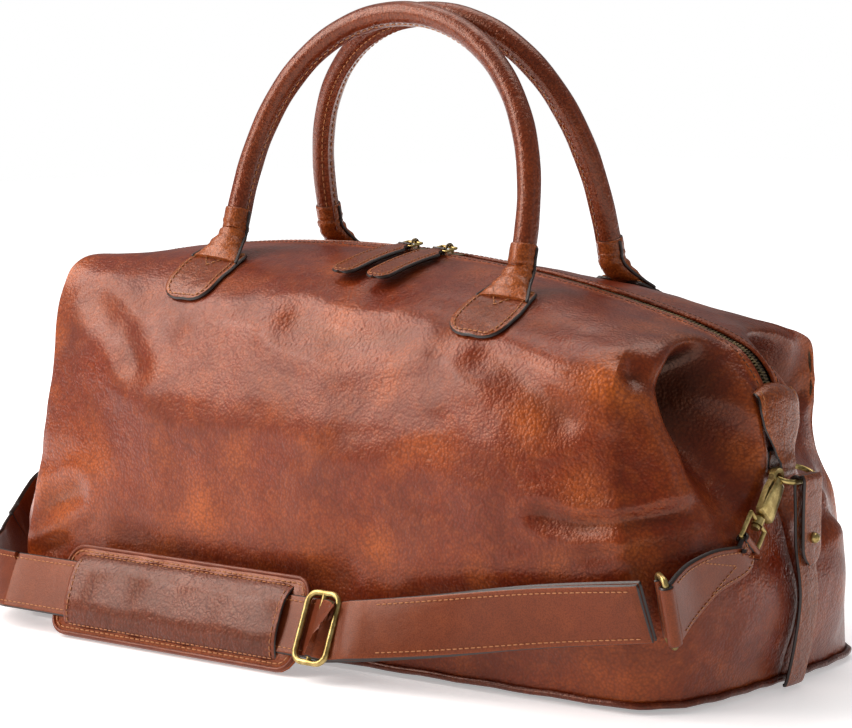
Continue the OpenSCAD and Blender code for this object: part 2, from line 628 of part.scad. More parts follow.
// The shoulder strap lies round the front, standing on its edge. A station is
// [middle, width direction, width]; a ribbon is swept through them
function eye_place() = [ring_x, hook_y + eye_bar * cos(hook_turn), ring_z + eye_bar * sin(hook_turn)];
eye_at = eye_place();
function station(p, w, s) = [p, unit(w), s];
function station_ring(list, k, t, off) = let (here = list[k], a = list[max(k - 1, 0)][0],
  b = list[min(k + 1, len(list) - 1)][0], d = unit(b - a), w = unit(here[1] - d * (here[1] * d)),
  n = cross(d, w), p = here[0] + n * off, h = here[2] / 2)
  [p - w * h + n * t / 2, p + w * h + n * t / 2, p + w * h - n * t / 2, p - w * h - n * t / 2];
module ribbon(list, t, off = 0) { swept([for (k = [0:len(list) - 1]) station_ring(list, k, t, off)]); }
function smooth_stations(list, n) = let (p = smooth([for (s = list) s[0]], n),
  w = smooth([for (s = list) s[1]], n), h = smooth([for (s = list) s[2]], n))
  [for (k = [0:len(p) - 1]) station(p[k], w[k], h[k])];

upright = [0, 0, 1];
eye_lean = [0, -sin(hook_turn), cos(hook_turn)] * -1;
corner_x = half_l + 17;
rect_at = [corner_x, -half_w - 8, 69];
rect_lean = [0, -0.3, 1];
// The chape: folded round the eye's bar, along the end to the rectangular ring
hook_dir = [0, cos(hook_turn), sin(hook_turn)];
chape_t = strap_t + 1;
fold_w = eye_w - eye_wire - 2;
module bar_fold() {
  hook_frame() translate([eye_bar, -fold_w / 2, 0]) rotate([-90, 0, 0]) difference() {
    cylinder(d = eye_wire + 2 * wire_gap + 3.2, h = fold_w, $fn = 32);
    translate([0, 0, -1]) cylinder(d = eye_wire + 2 * wire_gap, h = fold_w + 2, $fn = 32);
  }
}
chape_run = smooth_stations([
  station(eye_at + hook_dir * 3.5, eye_lean, fold_w - 1.2),
  station(eye_at + hook_dir * 15, eye_lean, fold_w + 2),
  station(mix(eye_at, rect_at, 0.45), [0, -0.45, 1], 27), station(mix(eye_at, rect_at, 0.75), rect_lean, 35),
  station(rect_at + [0, 3.6, 1.4], rect_lean, strap_w)], 3);
module chape_right() {
  color(strap_brown) {
    ribbon(chape_run, chape_t);
    bar_fold();
  }
}
module rect_ring() {
  w = strap_w + 7;
  l = 15;
  color(antique_brass) translate(rect_at) rotate([-asin(0.3 / norm([0.3, 1])) * -1, 0, 0])
    rotate([0, 0, -40]) {
      for (s = [-1, 1]) {
        translate([0, s * l / 2, -w / 2]) cylinder(d = buckle_wire, h = w, $fn = 24);
        translate([0, -l / 2, s * w / 2]) rotate([-90, 0, 0])
          cylinder(d = buckle_wire, h = l, $fn = 24);
        for (e = [-1, 1]) translate([0, s * l / 2, e * w / 2]) sphere(d = buckle_wire, $fn = 24);
      }
    }
}
// The long strap: from the ring along the front, behind the pad, round the left end to its hook
pad_lean = [0, 0.42, 1];
run_a = [60, -half_w - 37, 32];
run_b = [-245, -half_w - 33, 32];
left_eye = flip_x(eye_at);
run_steps = 8;
front_run = [station([corner_x - 9, -half_w - 15, 69], rect_lean, strap_w),
  station([210, -half_w - 19, 58], [0, -0.1, 1], strap_w),
  station([130, -half_w - 27, 43], [0, 0.2, 1], strap_w),
  station(run_a, pad_lean, strap_w), station(mix(run_a, run_b, 0.07), pad_lean, strap_w),
  station(mix(run_a, run_b, 0.5), pad_lean, strap_w), station(mix(run_a, run_b, 0.93), pad_lean, strap_w),
  station(run_b, pad_lean, strap_w),
  station([-286 * kx, -half_w - 26, 30], [0, 0.2, 1], strap_w),
  station([-307 * kx, -half_w - 4, 30], upright, strap_w),
  station([-315 * kx, -half_w + 24, 36], upright, strap_w),
  station([-313 * kx, -half_w + 48, 58], [0, -0.5, 1], 34)];
long_run = smooth_stations(front_run, run_steps);
module long_strap() { color(strap_brown) ribbon(long_run, strap_t); }
chape_left_at = [-314 * kx, -half_w + 51, 61];
chape_left_run = smooth_stations([station(chape_left_at, [0, -0.55, 1], 33),
  station(mix(chape_left_at, left_eye, 0.5) + [-3.4, 0, 0], [0, -0.8, 1], 27),
  station(left_eye + hook_dir * 9 + [-0.8, 0, 0], eye_lean, fold_w + 1),
  station(left_eye + hook_dir * 3.5, eye_lean, fold_w - 0.6)], 3);
module chape_left() {
  color(strap_brown) {
    ribbon(chape_left_run, chape_t);
    left_end() bar_fold();
  }
}
// The returned layer: from the ring back to the buckle, in front of the long strap
return_to = 3 * run_steps - 2;
module strap_return() {
  color(strap_brown) ribbon([for (k = [0:return_to]) long_run[k]], strap_t, -strap_t - seam_gap - 0.3);
}

// The pad and buckle stand in the strap's own leaning plane
run_dir = unit(run_b - run_a);
lean_up = unit(pad_lean - run_dir * (pad_lean * run_dir));
face_out = cross(lean_up, run_dir) * -1;
// x along the strap to the left, y up the strap's width, z out to the front
module strap_frame(p) {
  multmatrix([[run_dir[0], lean_up[0], -face_out[0], p[0]], [run_dir[1], lean_up[1], -face_out[1], p[1]],
    [run_dir[2], lean_up[2], -face_out[2], p[2]], [0, 0, 0, 1]]) children();
}
pad_start = run_a + run_dir * 31;
pad_drop = 0.6;
module rounded(l, h, r, t) {
  linear_extrude(t) for (a = [0]) union() {
    translate([r, -h / 2]) square([l - 2 * r, h]);
    translate([0, -h / 2 + r]) square([l, h - 2 * r]);
    for (x = [r, l - r]) for (y = [-h / 2 + r, h / 2 - r]) translate([x, y]) circle(r = r, $fn = 40);
  }
}
pad_r = 14;
sleeve_gap = strap_t + 1;
module pad_base() {
  color(strap_brown) strap_frame(pad_start) translate([0, pad_drop, -strap_t / 2 - move_gap - pad_t])
    rounded(pad_l, pad_h, pad_r, pad_t);
}
module pad_foam() {
  color("#4A4038") strap_frame(pad_start)
    translate([6, pad_drop, -strap_t / 2 - move_gap - pad_t - foam_t])
    rounded(pad_l - 12, pad_h - 12, pad_r - 5, foam_t);
}
// The sleeve: a raised cover that the strap runs through
module pad_sleeve() {
  h = pad_h - 9;
  inner = strap_w + 3;
  color(strap_brown) strap_frame(pad_start) translate([16, pad_drop, -strap_t / 2 - move_gap]) {
    difference() {
      translate([0, -h / 2, 0]) cube([pad_l - 32, h, strap_t + 2 * move_gap + 2]);
      translate([-1, -inner / 2 - pad_drop, -1])
        cube([pad_l - 30, inner, strap_t + 2 * move_gap + 1]);
    }
  }
}
// The slider buckle: a rectangle of wire with a middle bar behind the strap
module strap_buckle() {
  w = strap_w + 8;
  l = 26;
  off = strap_t / 2 + buckle_wire / 2 + 2 * move_gap;
  color(antique_brass) strap_frame(run_a + run_dir * 14) translate([0, 0, off]) {
    for (x = [-l / 2, l / 2]) translate([x, -w / 2, 0]) rotate([-90, 0, 0])
      cylinder(d = buckle_wire, h = w, $fn = 24);
    for (y = [-w / 2, w / 2]) translate([-l / 2, y, 0]) rotate([0, 90, 0])
      cylinder(d = buckle_wire, h = l, $fn = 24);
    for (x = [-l / 2, l / 2]) for (y = [-w / 2, w / 2]) translate([x, y, 0])
      sphere(d = buckle_wire, $fn = 24);
  }
}

front_panel();
back_panel();
base_panel();
base_board();
base_welt();
lining();
lining_floor();
zip_tape_front();
zip_tape_back();
zip_teeth_front();
zip_teeth_back();
slider_left();
slider_right();
pull_link_left();
pull_link_right();
pull_tab_left();
pull_tab_right();
handle_cover_front();
handle_cover_back();
handle_core_front();
handle_core_back();
patch_front_left();
patch_front_right();
patch_back_left();
patch_back_right();
zip_end_tab_left();
zip_end_tab_right();
ring_left();
ring_right();
end_strap_left();
end_strap_right();
end_flap_left();
end_flap_right();
stud_left();
stud_right();
hook_body_left();
hook_body_right();
trigger_left();
trigger_right();
trigger_pin_left();
trigger_pin_right();
swivel_eye_left();
swivel_eye_right();
chape_left();
chape_right();
rect_ring();
long_strap();
strap_return();
strap_buckle();
pad_base();
pad_foam();
pad_sleeve();
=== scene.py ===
# %% [markdown]
# A weekender bag in glossed cognac leather, built piece by piece.
# The real bag is two big leather panels on a stiffened base, a zip over the crest, two rolled
# handles and a shoulder strap that lies round its foot. The metal keeps the shape that the
# measured model gives it, and every leather piece is made here as a sheet with a real thickness.

# %% Load the measured model and keep its box
import math
import bpy
import numpy as np
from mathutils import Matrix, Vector, noise


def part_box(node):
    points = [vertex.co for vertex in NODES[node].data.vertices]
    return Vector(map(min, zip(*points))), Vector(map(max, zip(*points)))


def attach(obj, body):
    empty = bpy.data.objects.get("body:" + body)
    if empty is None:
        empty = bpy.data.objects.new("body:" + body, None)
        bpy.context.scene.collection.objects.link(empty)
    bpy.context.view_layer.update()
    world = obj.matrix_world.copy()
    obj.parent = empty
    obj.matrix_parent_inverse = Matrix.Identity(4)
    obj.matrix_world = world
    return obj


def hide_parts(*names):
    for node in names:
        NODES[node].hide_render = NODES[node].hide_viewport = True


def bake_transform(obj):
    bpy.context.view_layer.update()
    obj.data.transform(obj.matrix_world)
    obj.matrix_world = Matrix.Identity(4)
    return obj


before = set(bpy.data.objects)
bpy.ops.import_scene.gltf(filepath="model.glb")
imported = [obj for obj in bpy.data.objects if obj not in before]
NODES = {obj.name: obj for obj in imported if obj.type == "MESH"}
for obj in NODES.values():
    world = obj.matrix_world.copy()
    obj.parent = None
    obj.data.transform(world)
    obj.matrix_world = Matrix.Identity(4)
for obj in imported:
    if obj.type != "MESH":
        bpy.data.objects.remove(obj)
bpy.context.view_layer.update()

# %% [markdown]
# The camera stands about two metres away, a little above the bag's middle, and turned well
# to its right, with a long lens. It is set first, so that every piece can be judged as it is made.
# A long lens keeps the two ends of the bag nearly the same size, which a short one would not.

# %% Camera
AZIMUTH, ELEVATION = math.radians(37.8), math.radians(6.0)
across = Vector((math.cos(AZIMUTH), math.sin(AZIMUTH), 0))
toward = Vector((math.sin(AZIMUTH) * math.cos(ELEVATION),
                 -math.cos(AZIMUTH) * math.cos(ELEVATION), math.sin(ELEVATION)))
look_at = across * 0.0038 + Vector((0, 0, 0.1879))
camera_data = bpy.data.cameras.new("camera")
camera_data.lens = 118.3
camera_data.sensor_width = 36.0
camera = bpy.data.objects.new("camera", camera_data)
bpy.context.collection.objects.link(camera)
camera.location = look_at + toward * 1.9489
camera.rotation_mode = "QUATERNION"
camera.rotation_quaternion = toward.to_track_quat("Z", "Y")
bpy.context.scene.camera = camera
print("camera at", [round(v, 3) for v in camera.location])

# %% [markdown]
# Soft studio light: a large softbox overhead and a little behind gives the pale band along the
# shoulder, one high on the left and one in front of it give the broad sheen on the front, and a
# weak one on the right lifts the end. A dim white room fills the shadows. Large lamps are used
# because small ones would make hard, tiny highlights. A few helpers come first.

# %% Helpers for colour, nodes and meshes
MM = 0.001


def colour(hex_code):
    """An sRGB hex colour as the linear colour that a shader wants."""
    parts = [int(hex_code[k:k + 2], 16) / 255 for k in (1, 3, 5)]
    return [c / 12.92 if c <= 0.04045 else ((c + 0.055) / 1.055) ** 2.4 for c in parts] + [1.0]


def add(tree, kind, settings=None, links=None):
    """Adds a node; settings are its properties or its sockets' values, links its sockets' sources."""
    made = tree.nodes.new(kind)
    for key, value in (settings or {}).items():
        if isinstance(key, int) or key in made.inputs:
            made.inputs[key].default_value = value
        else:
            setattr(made, key, value)
    for key, source in (links or {}).items():
        tree.links.new(source, made.inputs[key])
    return made


def new_material(name):
    """An empty material with a shader wired to its output."""
    material = bpy.data.materials.new(name)
    material.use_nodes = True
    tree = material.node_tree
    tree.nodes.clear()
    shader = add(tree, "ShaderNodeBsdfPrincipled")
    add(tree, "ShaderNodeOutputMaterial", links={0: shader.outputs[0]})
    return material, tree, shader


# %% Lights, room and floor
def softbox(name, place, aim, size, power, tint="#FFFFFF"):
    data = bpy.data.lights.new(name, "AREA")
    data.shape, data.size, data.size_y = "RECTANGLE", size[0], size[1]
    data.energy, data.color = power, colour(tint)[:3]
    lamp = bpy.data.objects.new(name, data)
    bpy.context.collection.objects.link(lamp)
    lamp.location = place
    lamp.rotation_mode = "QUATERNION"
    lamp.rotation_quaternion = (Vector(place) - Vector(aim)).to_track_quat("Z", "Y")


softbox("overhead_box", (-0.1, 0.45, 1.7), (0, 0, 0.2), (1.5, 1.0), 14, "#FFF6F0")
softbox("high_left_box", (-1.3, -0.75, 1.6), (0, 0, 0.24), (1.3, 1.1), 30, "#FFF4EE")
softbox("front_left_box", (-1.4, -1.75, 1.1), (-0.05, 0, 0.2), (1.0, 1.0), 27, "#FFF4EE")
softbox("right_fill_box", (2.2, 0.1, 0.9), (0.1, 0, 0.15), (0.6, 1.2), 2, "#EEF3FF")
world = bpy.data.worlds.new("white_room")
bpy.context.scene.world = world
world.use_nodes = True
world.node_tree.nodes["Background"].inputs[0].default_value = colour("#FFFFFF")
seen = add(world.node_tree, "ShaderNodeLightPath").outputs["Is Camera Ray"]
# white behind the bag, but a dimmer room for what lights it
room = add(world.node_tree, "ShaderNodeMapRange", {"To Min": 0.24, "To Max": 1.0}, {"Value": seen})
world.node_tree.links.new(room.outputs[0], world.node_tree.nodes["Background"].inputs[1])
bpy.context.scene.view_settings.view_transform = "Standard"

floor_material, tree, shader = new_material("white_studio_paper_painted_glow")
# Matt white paper: no gloss at all, and slightly blue in its shadows.
shader.inputs["Base Color"].default_value = colour("#FAFAFC")
shader.inputs["Roughness"].default_value = 0.95
shader.inputs["Specular IOR Level"].default_value = 0.1
# painted light: the paper glows, weakly near the bag and fully white away from it, standing in for a studio
# that lights it from behind
spot = add(tree, "ShaderNodeTexCoord").outputs["Object"]
far = add(tree, "ShaderNodeVectorMath", {"operation": "LENGTH"}, {0: spot})
painted_floor_glow = add(tree, "ShaderNodeMapRange", {"From Min": 0.3, "From Max": 1.1, "To Min": 0.38, "To Max": 1.0},
             {"Value": far.outputs["Value"]})
tree.links.new(painted_floor_glow.outputs[0], shader.inputs["Emission Strength"])
shader.inputs["Emission Color"].default_value = colour("#FFFFFF")
floor_mesh = bpy.data.meshes.new("studio_floor")
floor_mesh.from_pydata([(-6, -6, -0.0005), (6, -6, -0.0005), (6, 9, -0.0005), (-6, 9, -0.0005)], [],
                       [(0, 1, 2, 3)])
floor = bpy.data.objects.new("studio_floor", floor_mesh)
bpy.context.collection.objects.link(floor)
floor.data.materials.append(floor_material)

# %% [markdown]
# The body leather is full-grain cowhide, vegetable tanned, dyed by hand and glossed with wax.
# Its grain is a pebble of one to two millimetres, hollows and creases get a painted shade of near-black
# brown, and the raised folds are rubbed to orange. One function makes every leather of the bag, because
# they differ only in dye, grain size and gloss: the straps are a smooth, tightly rolled hide.
# Two numbers kept on each point of a mesh drive the colour: how rubbed it is, and how much shade is
# painted in where it lies deep.

# %% Leather
def leather(name, dye, shade, rubbed, grain=1.7, depth=0.22, gloss=0.36, mottle=45.0, coat=0.25,
            wrinkle=0.25):
    """grain and mottle are sizes in millimetres, depth the pebbles' relief in millimetres."""
    material, tree, shader = new_material(name)
    place = add(tree, "ShaderNodeTexCoord").outputs["Object"]
    clouds = add(tree, "ShaderNodeTexNoise", {"Scale": 1000 / mottle, "Detail": 5.0, "Roughness": 0.6},
                 {"Vector": place})
    blotch = add(tree, "ShaderNodeMapRange", {"From Min": 0.28, "From Max": 0.9},
                 {"Value": clouds.outputs[0]})
    flecks = add(tree, "ShaderNodeTexNoise", {"Scale": 1000 / (mottle / 5), "Detail": 4.0},
                 {"Vector": place})
    fleck = add(tree, "ShaderNodeMapRange", {"From Min": 0.45, "From Max": 0.8, "To Max": 0.35},
                {"Value": flecks.outputs[0]})
    pebble = add(tree, "ShaderNodeTexVoronoi", {"feature": "SMOOTH_F1", "Scale": 1000 / grain,
                                                "Smoothness": 0.35, "Randomness": 1.0}, {"Vector": place})
    # The dye is darker in the pits between the pebbles.
    pit = add(tree, "ShaderNodeMapRange", {"From Min": 0.25, "From Max": 0.75, "To Max": 0.55},
              {"Value": pebble.outputs["Distance"]})
    rub = add(tree, "ShaderNodeAttribute", {"attribute_name": "rubbed"})
    # painted shade: this number says how much near black is painted in where the leather lies deep
    low = add(tree, "ShaderNodeAttribute", {"attribute_name": "painted_hollow_shade"})
    tone = add(tree, "ShaderNodeMix", {"data_type": "RGBA", 7: colour(shade)},
               {0: blotch.outputs[0]})
    tone.inputs[6].default_value = colour(dye)
    warm = add(tree, "ShaderNodeMix", {"data_type": "RGBA", 7: colour(rubbed)},
               {0: fleck.outputs[0], 6: tone.outputs[2]})
    worn = add(tree, "ShaderNodeMix", {"data_type": "RGBA", 7: colour(rubbed)},
               {0: rub.outputs["Fac"], 6: warm.outputs[2]})
    pitted = add(tree, "ShaderNodeMix", {"data_type": "RGBA", 7: colour(shade)},
                 {0: pit.outputs[0], 6: worn.outputs[2]})
    # painted shade: near black is mixed into hollows, creases and pockets, where shade falls
    with_painted_shade = add(tree, "ShaderNodeMix", {"data_type": "RGBA", 7: colour("#1A0B08")},
               {0: low.outputs["Fac"], 6: pitted.outputs[2]})
    tree.links.new(with_painted_shade.outputs[2], shader.inputs["Base Color"])
    sheen_spots = add(tree, "ShaderNodeMapRange", {"From Min": 0.3, "From Max": 0.7, "To Min": gloss - 0.07,
                                                   "To Max": gloss + 0.12}, {"Value": clouds.outputs[0]})
    tree.links.new(sheen_spots.outputs[0], shader.inputs["Roughness"])
    shader.inputs["IOR"].default_value = 1.5
    shader.inputs["Coat Weight"].default_value = coat
    shader.inputs["Coat Roughness"].default_value = 0.2
    # waxed, dyed hide gives a warm sheen, not a white one
    shader.inputs["Specular Tint"].default_value = colour("#FFB994")
    creases = add(tree, "ShaderNodeTexNoise", {"Scale": 1000 / 7.0, "Detail": 4.0, "Distortion": 0.8},
                  {"Vector": place})
    fine = add(tree, "ShaderNodeTexNoise", {"Scale": 1000 / (grain * 0.5), "Detail": 2.0},
               {"Vector": place})
    bump_fine = add(tree, "ShaderNodeBump", {"Strength": 0.5, "Distance": 0.12 * MM},
                    {"Height": fine.outputs[0]})
    bump_grain = add(tree, "ShaderNodeBump", {"Strength": 1.0, "Distance": depth * MM, "invert": True},
                     {"Height": pebble.outputs["Distance"], "Normal": bump_fine.outputs[0]})
    bump_fold = add(tree, "ShaderNodeBump", {"Strength": 1.0, "Distance": wrinkle * MM * 3},
                    {"Height": creases.outputs[0], "Normal": bump_grain.outputs[0]})
    tree.links.new(bump_fold.outputs[0], shader.inputs["Normal"])
    return material


body_leather = leather("glossed_full_grain_leather", "#7A2A12", "#4C160A", "#B0561F", grain=1.9, depth=0.3,
                       gloss=0.33, coat=0.2)
trim_leather = leather("burnished_patch_leather", "#6E2712", "#3C120A", "#B05C22", grain=1.4, depth=0.25,
                       gloss=0.3, mottle=22, wrinkle=0.5)
strap_leather = leather("rolled_strap_leather", "#652614", "#431609", "#954821", grain=0.9, depth=0.07,
                        gloss=0.38, mottle=70, coat=0.15, wrinkle=0.08)
handle_leather = leather("rolled_handle_leather", "#602212", "#381008", "#9C4A22", grain=1.6, depth=0.3,
                         gloss=0.3, mottle=30, wrinkle=0.3)


# %% [markdown]
# The cut edges are sealed with black edge paint, which dries to a soft, rounded, slightly
# glossy bead. The thread is waxed polyester in tan, three strands twisted.

# %% Edge paint and thread
edge_paint, tree, shader = new_material("black_edge_paint")
place = add(tree, "ShaderNodeTexCoord").outputs["Object"]
streaks = add(tree, "ShaderNodeTexNoise", {"Scale": 1000 / 3.0, "Detail": 3.0}, {"Vector": place})
tint = add(tree, "ShaderNodeMix", {"data_type": "RGBA", 6: colour("#171110"), 7: colour("#2E1C16")},
           {0: streaks.outputs[0]})
tree.links.new(tint.outputs[2], shader.inputs["Base Color"])
shader.inputs["Roughness"].default_value = 0.4
ripple = add(tree, "ShaderNodeBump", {"Distance": 0.15 * MM}, {"Height": streaks.outputs[0]})
tree.links.new(ripple.outputs[0], shader.inputs["Normal"])


def thread_material(name, light, dark):
    material, tree, shader = new_material(name)
    place = add(tree, "ShaderNodeTexCoord").outputs["Object"]
    strands = add(tree, "ShaderNodeTexNoise", {"Scale": 1000 / 0.8, "Detail": 2.0}, {"Vector": place})
    tint = add(tree, "ShaderNodeMix", {"data_type": "RGBA", 6: colour(dark), 7: colour(light)},
               {0: strands.outputs[0]})
    tree.links.new(tint.outputs[2], shader.inputs["Base Color"])
    shader.inputs["Roughness"].default_value = 0.6
    return material


tan_thread = thread_material("waxed_tan_thread", "#C98750", "#8A4E2A")
brown_thread = thread_material("waxed_brown_thread", "#4A2418", "#2A120C")


# %% [markdown]
# Three builders make nearly every piece. A slab is a sheet given by its outer face: it gets a
# thickness, and a rounded rim in edge paint. A tube follows a path. A seam is a row of short
# stitches, each one a real little spindle of thread that sits on the leather.

# %% Mesh builders
def finish_mesh(name, points, faces, materials, body, indices=None, fields=None, sharp=50):
    mesh = bpy.data.meshes.new(name)
    mesh.from_pydata((np.asarray(points) * MM).tolist(), [], faces)
    for material in materials:
        mesh.materials.append(material)
    if indices is not None:
        mesh.polygons.foreach_set("material_index", np.asarray(indices, dtype=np.int32))
    for field, values in (fields or {}).items():
        mesh.attributes.new(field, "FLOAT", "POINT").data.foreach_set(
            "value", np.clip(values, 0, 1).astype(np.float32))
    mesh.validate()
    mesh.shade_smooth()
    mesh.set_sharp_from_angle(angle=math.radians(sharp))
    made = bpy.data.objects.new(name, mesh)
    bpy.context.collection.objects.link(made)
    if body:
        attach(made, body)
    return made


def unit(v):
    return v / np.maximum(np.linalg.norm(v, axis=-1, keepdims=True), 1e-9)


def grid_normals(grid, wrap=False):
    """Normals of a grid of points, by its neighbours along both directions."""
    if wrap:
        along = np.roll(grid, -1, 0) - np.roll(grid, 1, 0)
    else:
        along = np.gradient(grid, axis=0)
    return unit(np.cross(along, np.gradient(grid, axis=1)))


def slab(name, grid, thickness, materials, body, wrap=False, fields=None, rim=0.35, normals=None,
         sharp=50):
    """grid is the outer face as columns of points; the slab lies behind it, by its normals."""
    n, m = grid.shape[:2]
    out = grid_normals(grid, wrap) if normals is None else normals
    back = grid - out * thickness
    middle = (grid + back) / 2
    count = n * m
    points = [grid.reshape(-1, 3), back.reshape(-1, 3)]
    faces, marks = [], []
    last = n if wrap else n - 1
    for j in range(last):
        k = (j + 1) % n
        for i in range(m - 1):
            a, b, c, d = j * m + i, k * m + i, k * m + i + 1, j * m + i + 1
            faces += [(a, b, c, d), (count + d, count + c, count + b, count + a)]
            marks += [0, 0]
    # the rim: a loop of points half way through the thickness, standing out a little
    loops = []
    if wrap:
        loops = [[(j, 0) for j in range(n)], [(j, m - 1) for j in range(n)][::-1]]
    else:
        loops = [[(j, 0) for j in range(n)] + [(n - 1, i) for i in range(1, m)]
                 + [(j, m - 1) for j in range(n - 2, -1, -1)] + [(0, i) for i in range(m - 2, 0, -1)]]
    start = 2 * count
    for loop in loops:
        ring = np.array([middle[j, i] for j, i in loop])
        ahead = np.roll(ring, -1, 0) - np.roll(ring, 1, 0)
        side = np.array([out[j, i] for j, i in loop])
        points.append(ring + unit(np.cross(ahead, side)) * thickness * rim)
        size = len(loop)
        for k in range(size):
            (j0, i0), (j1, i1) = loop[k], loop[(k + 1) % size]
            a, b = j0 * m + i0, j1 * m + i1
            p, q = start + k, start + (k + 1) % size
            faces += [(b, a, p, q), (q, p, count + a, count + b)]
            marks += [1, 1]
        start += size
    points = np.vstack(points)
    values = None
    if fields:
        values = {}
        for key, field in fields.items():
            flat = np.asarray(field).reshape(-1)
            edge = np.concatenate([[np.asarray(field)[j, i] for j, i in loop] for loop in loops])
            values[key] = np.concatenate([flat, flat, edge])
    top = len(materials) - 1
    return finish_mesh(name, points, faces, materials, body, [min(k, top) for k in marks], values,
                       sharp)


def resample(path, step=None, count=None):
    """The path at even steps of length."""
    path = np.asarray(path, float)
    length = np.concatenate([[0], np.cumsum(np.linalg.norm(np.diff(path, axis=0), axis=1))])
    count = count or max(2, int(round(length[-1] / step)) + 1)
    want = np.linspace(0, length[-1], count)
    return np.stack([np.interp(want, length, path[:, k]) for k in range(path.shape[1])], 1)


def curve(points, n):
    """A smooth curve or surface through points along the first axis, n steps between neighbours."""
    p = np.asarray(points, float)
    q = np.concatenate([p[:1], p, p[-1:]])
    made = []
    for i in range(len(p) - 1):
        a, b, c, d = q[i:i + 4]
        for t in np.arange(n) / n:
            made.append(0.5 * (2 * b + (c - a) * t + (2 * a - 5 * b + 4 * c - d) * t ** 2
                               + (3 * b - a - 3 * c + d) * t ** 3))
    return np.array(made + [p[-1]])


def path_frames(path, hint, closed=False):
    """Directions along, beside and out of a path; hint is roughly the out direction at each point."""
    along = unit(np.roll(path, -1, 0) - np.roll(path, 1, 0)) if closed else unit(np.gradient(path, axis=0))
    hint = np.broadcast_to(np.asarray(hint, float), path.shape)
    beside = unit(np.cross(along, hint))
    return along, beside, unit(np.cross(beside, along))


def tube(name, path, radius, materials, body, sides=12, closed=False, hint=(0, 0, 1),
         section=None, fields=None):
    """section(angle, place) may scale the radius; the ends of an open tube are domed."""
    path = np.asarray(path, float)
    along, beside, out = path_frames(path, hint, closed)
    size = np.broadcast_to(np.asarray(radius, float), (len(path),)).copy()
    if not closed:
        ends = [(0, -1), (len(path) - 1, 1)]
        pre = [(path[0] - along[0] * size[0] * s, size[0] * math.sqrt(1 - s * s))
               for s in (0.98, 0.8, 0.45)]
        post = [(path[-1] + along[-1] * size[-1] * s, size[-1] * math.sqrt(1 - s * s))
                for s in (0.45, 0.8, 0.98)]
        path = np.vstack([[p for p, _ in pre], path, [p for p, _ in post]])
        size = np.concatenate([[r for _, r in pre], size, [r for _, r in post]])
        beside = np.vstack([beside[:1]] * 3 + [beside] + [beside[-1:]] * 3)
        out = np.vstack([out[:1]] * 3 + [out] + [out[-1:]] * 3)
    n = len(path)
    angle = np.arange(sides) * 2 * math.pi / sides
    scale = np.ones((n, sides))
    if section:
        scale = np.array([[section(a, j / (n - 1)) for a in angle] for j in range(n)])
    rings = (path[:, None] + (beside[:, None] * np.cos(angle)[None, :, None]
                              + out[:, None] * np.sin(angle)[None, :, None])
                             * (size[:, None] * scale)[..., None])
    faces = []
    for j in range(n if closed else n - 1):
        k = (j + 1) % n
        for i in range(sides):
            t = (i + 1) % sides
            faces.append((j * sides + i, j * sides + t, k * sides + t, k * sides + i))
    if not closed:
        faces += [tuple(range(sides))[::-1], tuple((n - 1) * sides + i for i in range(sides))]
    faces = [f[::-1] for f in faces]
    return finish_mesh(name, rings.reshape(-1, 3), faces, materials, body, fields=fields)


def stitch_rows(name, rows, material, body, length=3.4, gap=1.3, width=0.85):
    """rows are (path, out) pairs: a path on the leather and the direction out of it at each point."""
    points, faces = [], []
    spindle = [(-0.5, 0.35), (-0.38, 0.9), (0.0, 1.0), (0.38, 0.9), (0.5, 0.35)]
    for path, out in rows:
        path = np.asarray(path, float)
        out = np.broadcast_to(np.asarray(out, float), path.shape)
        both = resample(np.hstack([path, out]), step=(length + gap) / 4)
        path, out = both[:, :3], unit(both[:, 3:])
        for k in range(2, len(path) - 2, 4):
            d = unit(path[k + 2] - path[k - 2])
            up = unit(out[k] - d * (out[k] @ d))
            side = np.cross(d, up)
            base = len(points)
            for s, r in spindle:
                centre = path[k] + d * s * length + up * width * 0.22
                for a in range(6):
                    w = a * math.pi / 3
                    points.append(centre + (side * math.cos(w) + up * math.sin(w)) * r * width / 2)
            for j in range(4):
                for i in range(6):
                    t = (i + 1) % 6
                    faces.append((base + j * 6 + i, base + j * 6 + t, base + j * 6 + 6 + t,
                                  base + j * 6 + 6 + i))
            faces += [tuple(base + i for i in range(6))[::-1], tuple(base + 24 + i for i in range(6))]
    return finish_mesh(name, points, faces, [material], body)

# %% [markdown]
# The skin. On the real bag a front and a back panel wrap round to seams up the middle of both
# ends, stand up on a stiff base, lean in to the zip, and sink in beside the zip's ends, where
# the leather makes a wing at each corner with a deep pocket behind it. It could be simulated as
# cloth, but the folds would then fall by chance. A net of measured columns is used instead, drawn
# out finely, and each fold, dent and swelling is then pressed into it where it belongs.

# %% The skin's net
MID = [(-127, 3), (-134, 55), (-136, 115), (-131, 172), (-113, 221), (-82, 247), (-42, 261), (-7, 268)]
CORNER = [(260, -124, 3), (263, -126, 57), (254, -126, 110), (243, -120, 160), (237, -111, 212),
          (226, -78, 234), (214, -42, 244), (222, -7, 240)]
# the left front wing is higher and sharper
LEFT_CORNER = [(257, -124, 3), (257, -126, 57), (247, -126, 110), (240, -121, 164), (240, -112, 217),
               (236, -90, 245), (214, -43, 247), (222, -7, 240)]
LEFT_TURN = [(275, -103, 3), (281, -101, 57), (273, -95, 110), (262, -89, 158), (247, -88, 202),
             (245, -72, 234), (240, -37, 240), (246, -7, 234)]
TURN = [(280, -103, 3), (287, -101, 57), (281, -95, 110), (270, -89, 158), (250, -85, 199),
        (246, -68, 225), (243, -36, 237), (246, -7, 234)]
RECESS = [(288, -68, 3), (298, -66, 57), (292, -60, 108), (253, -56, 150), (222, -52, 184),
          (220, -46, 206), (251, -27, 224), (266, -7, 224)]
RIDGE = [(290, -30, 3), (301, -30, 57), (293, -28, 106), (286, -25, 140), (284, -24, 168),
         (283, -25, 190), (280, -18, 203), (279, -7, 206)]
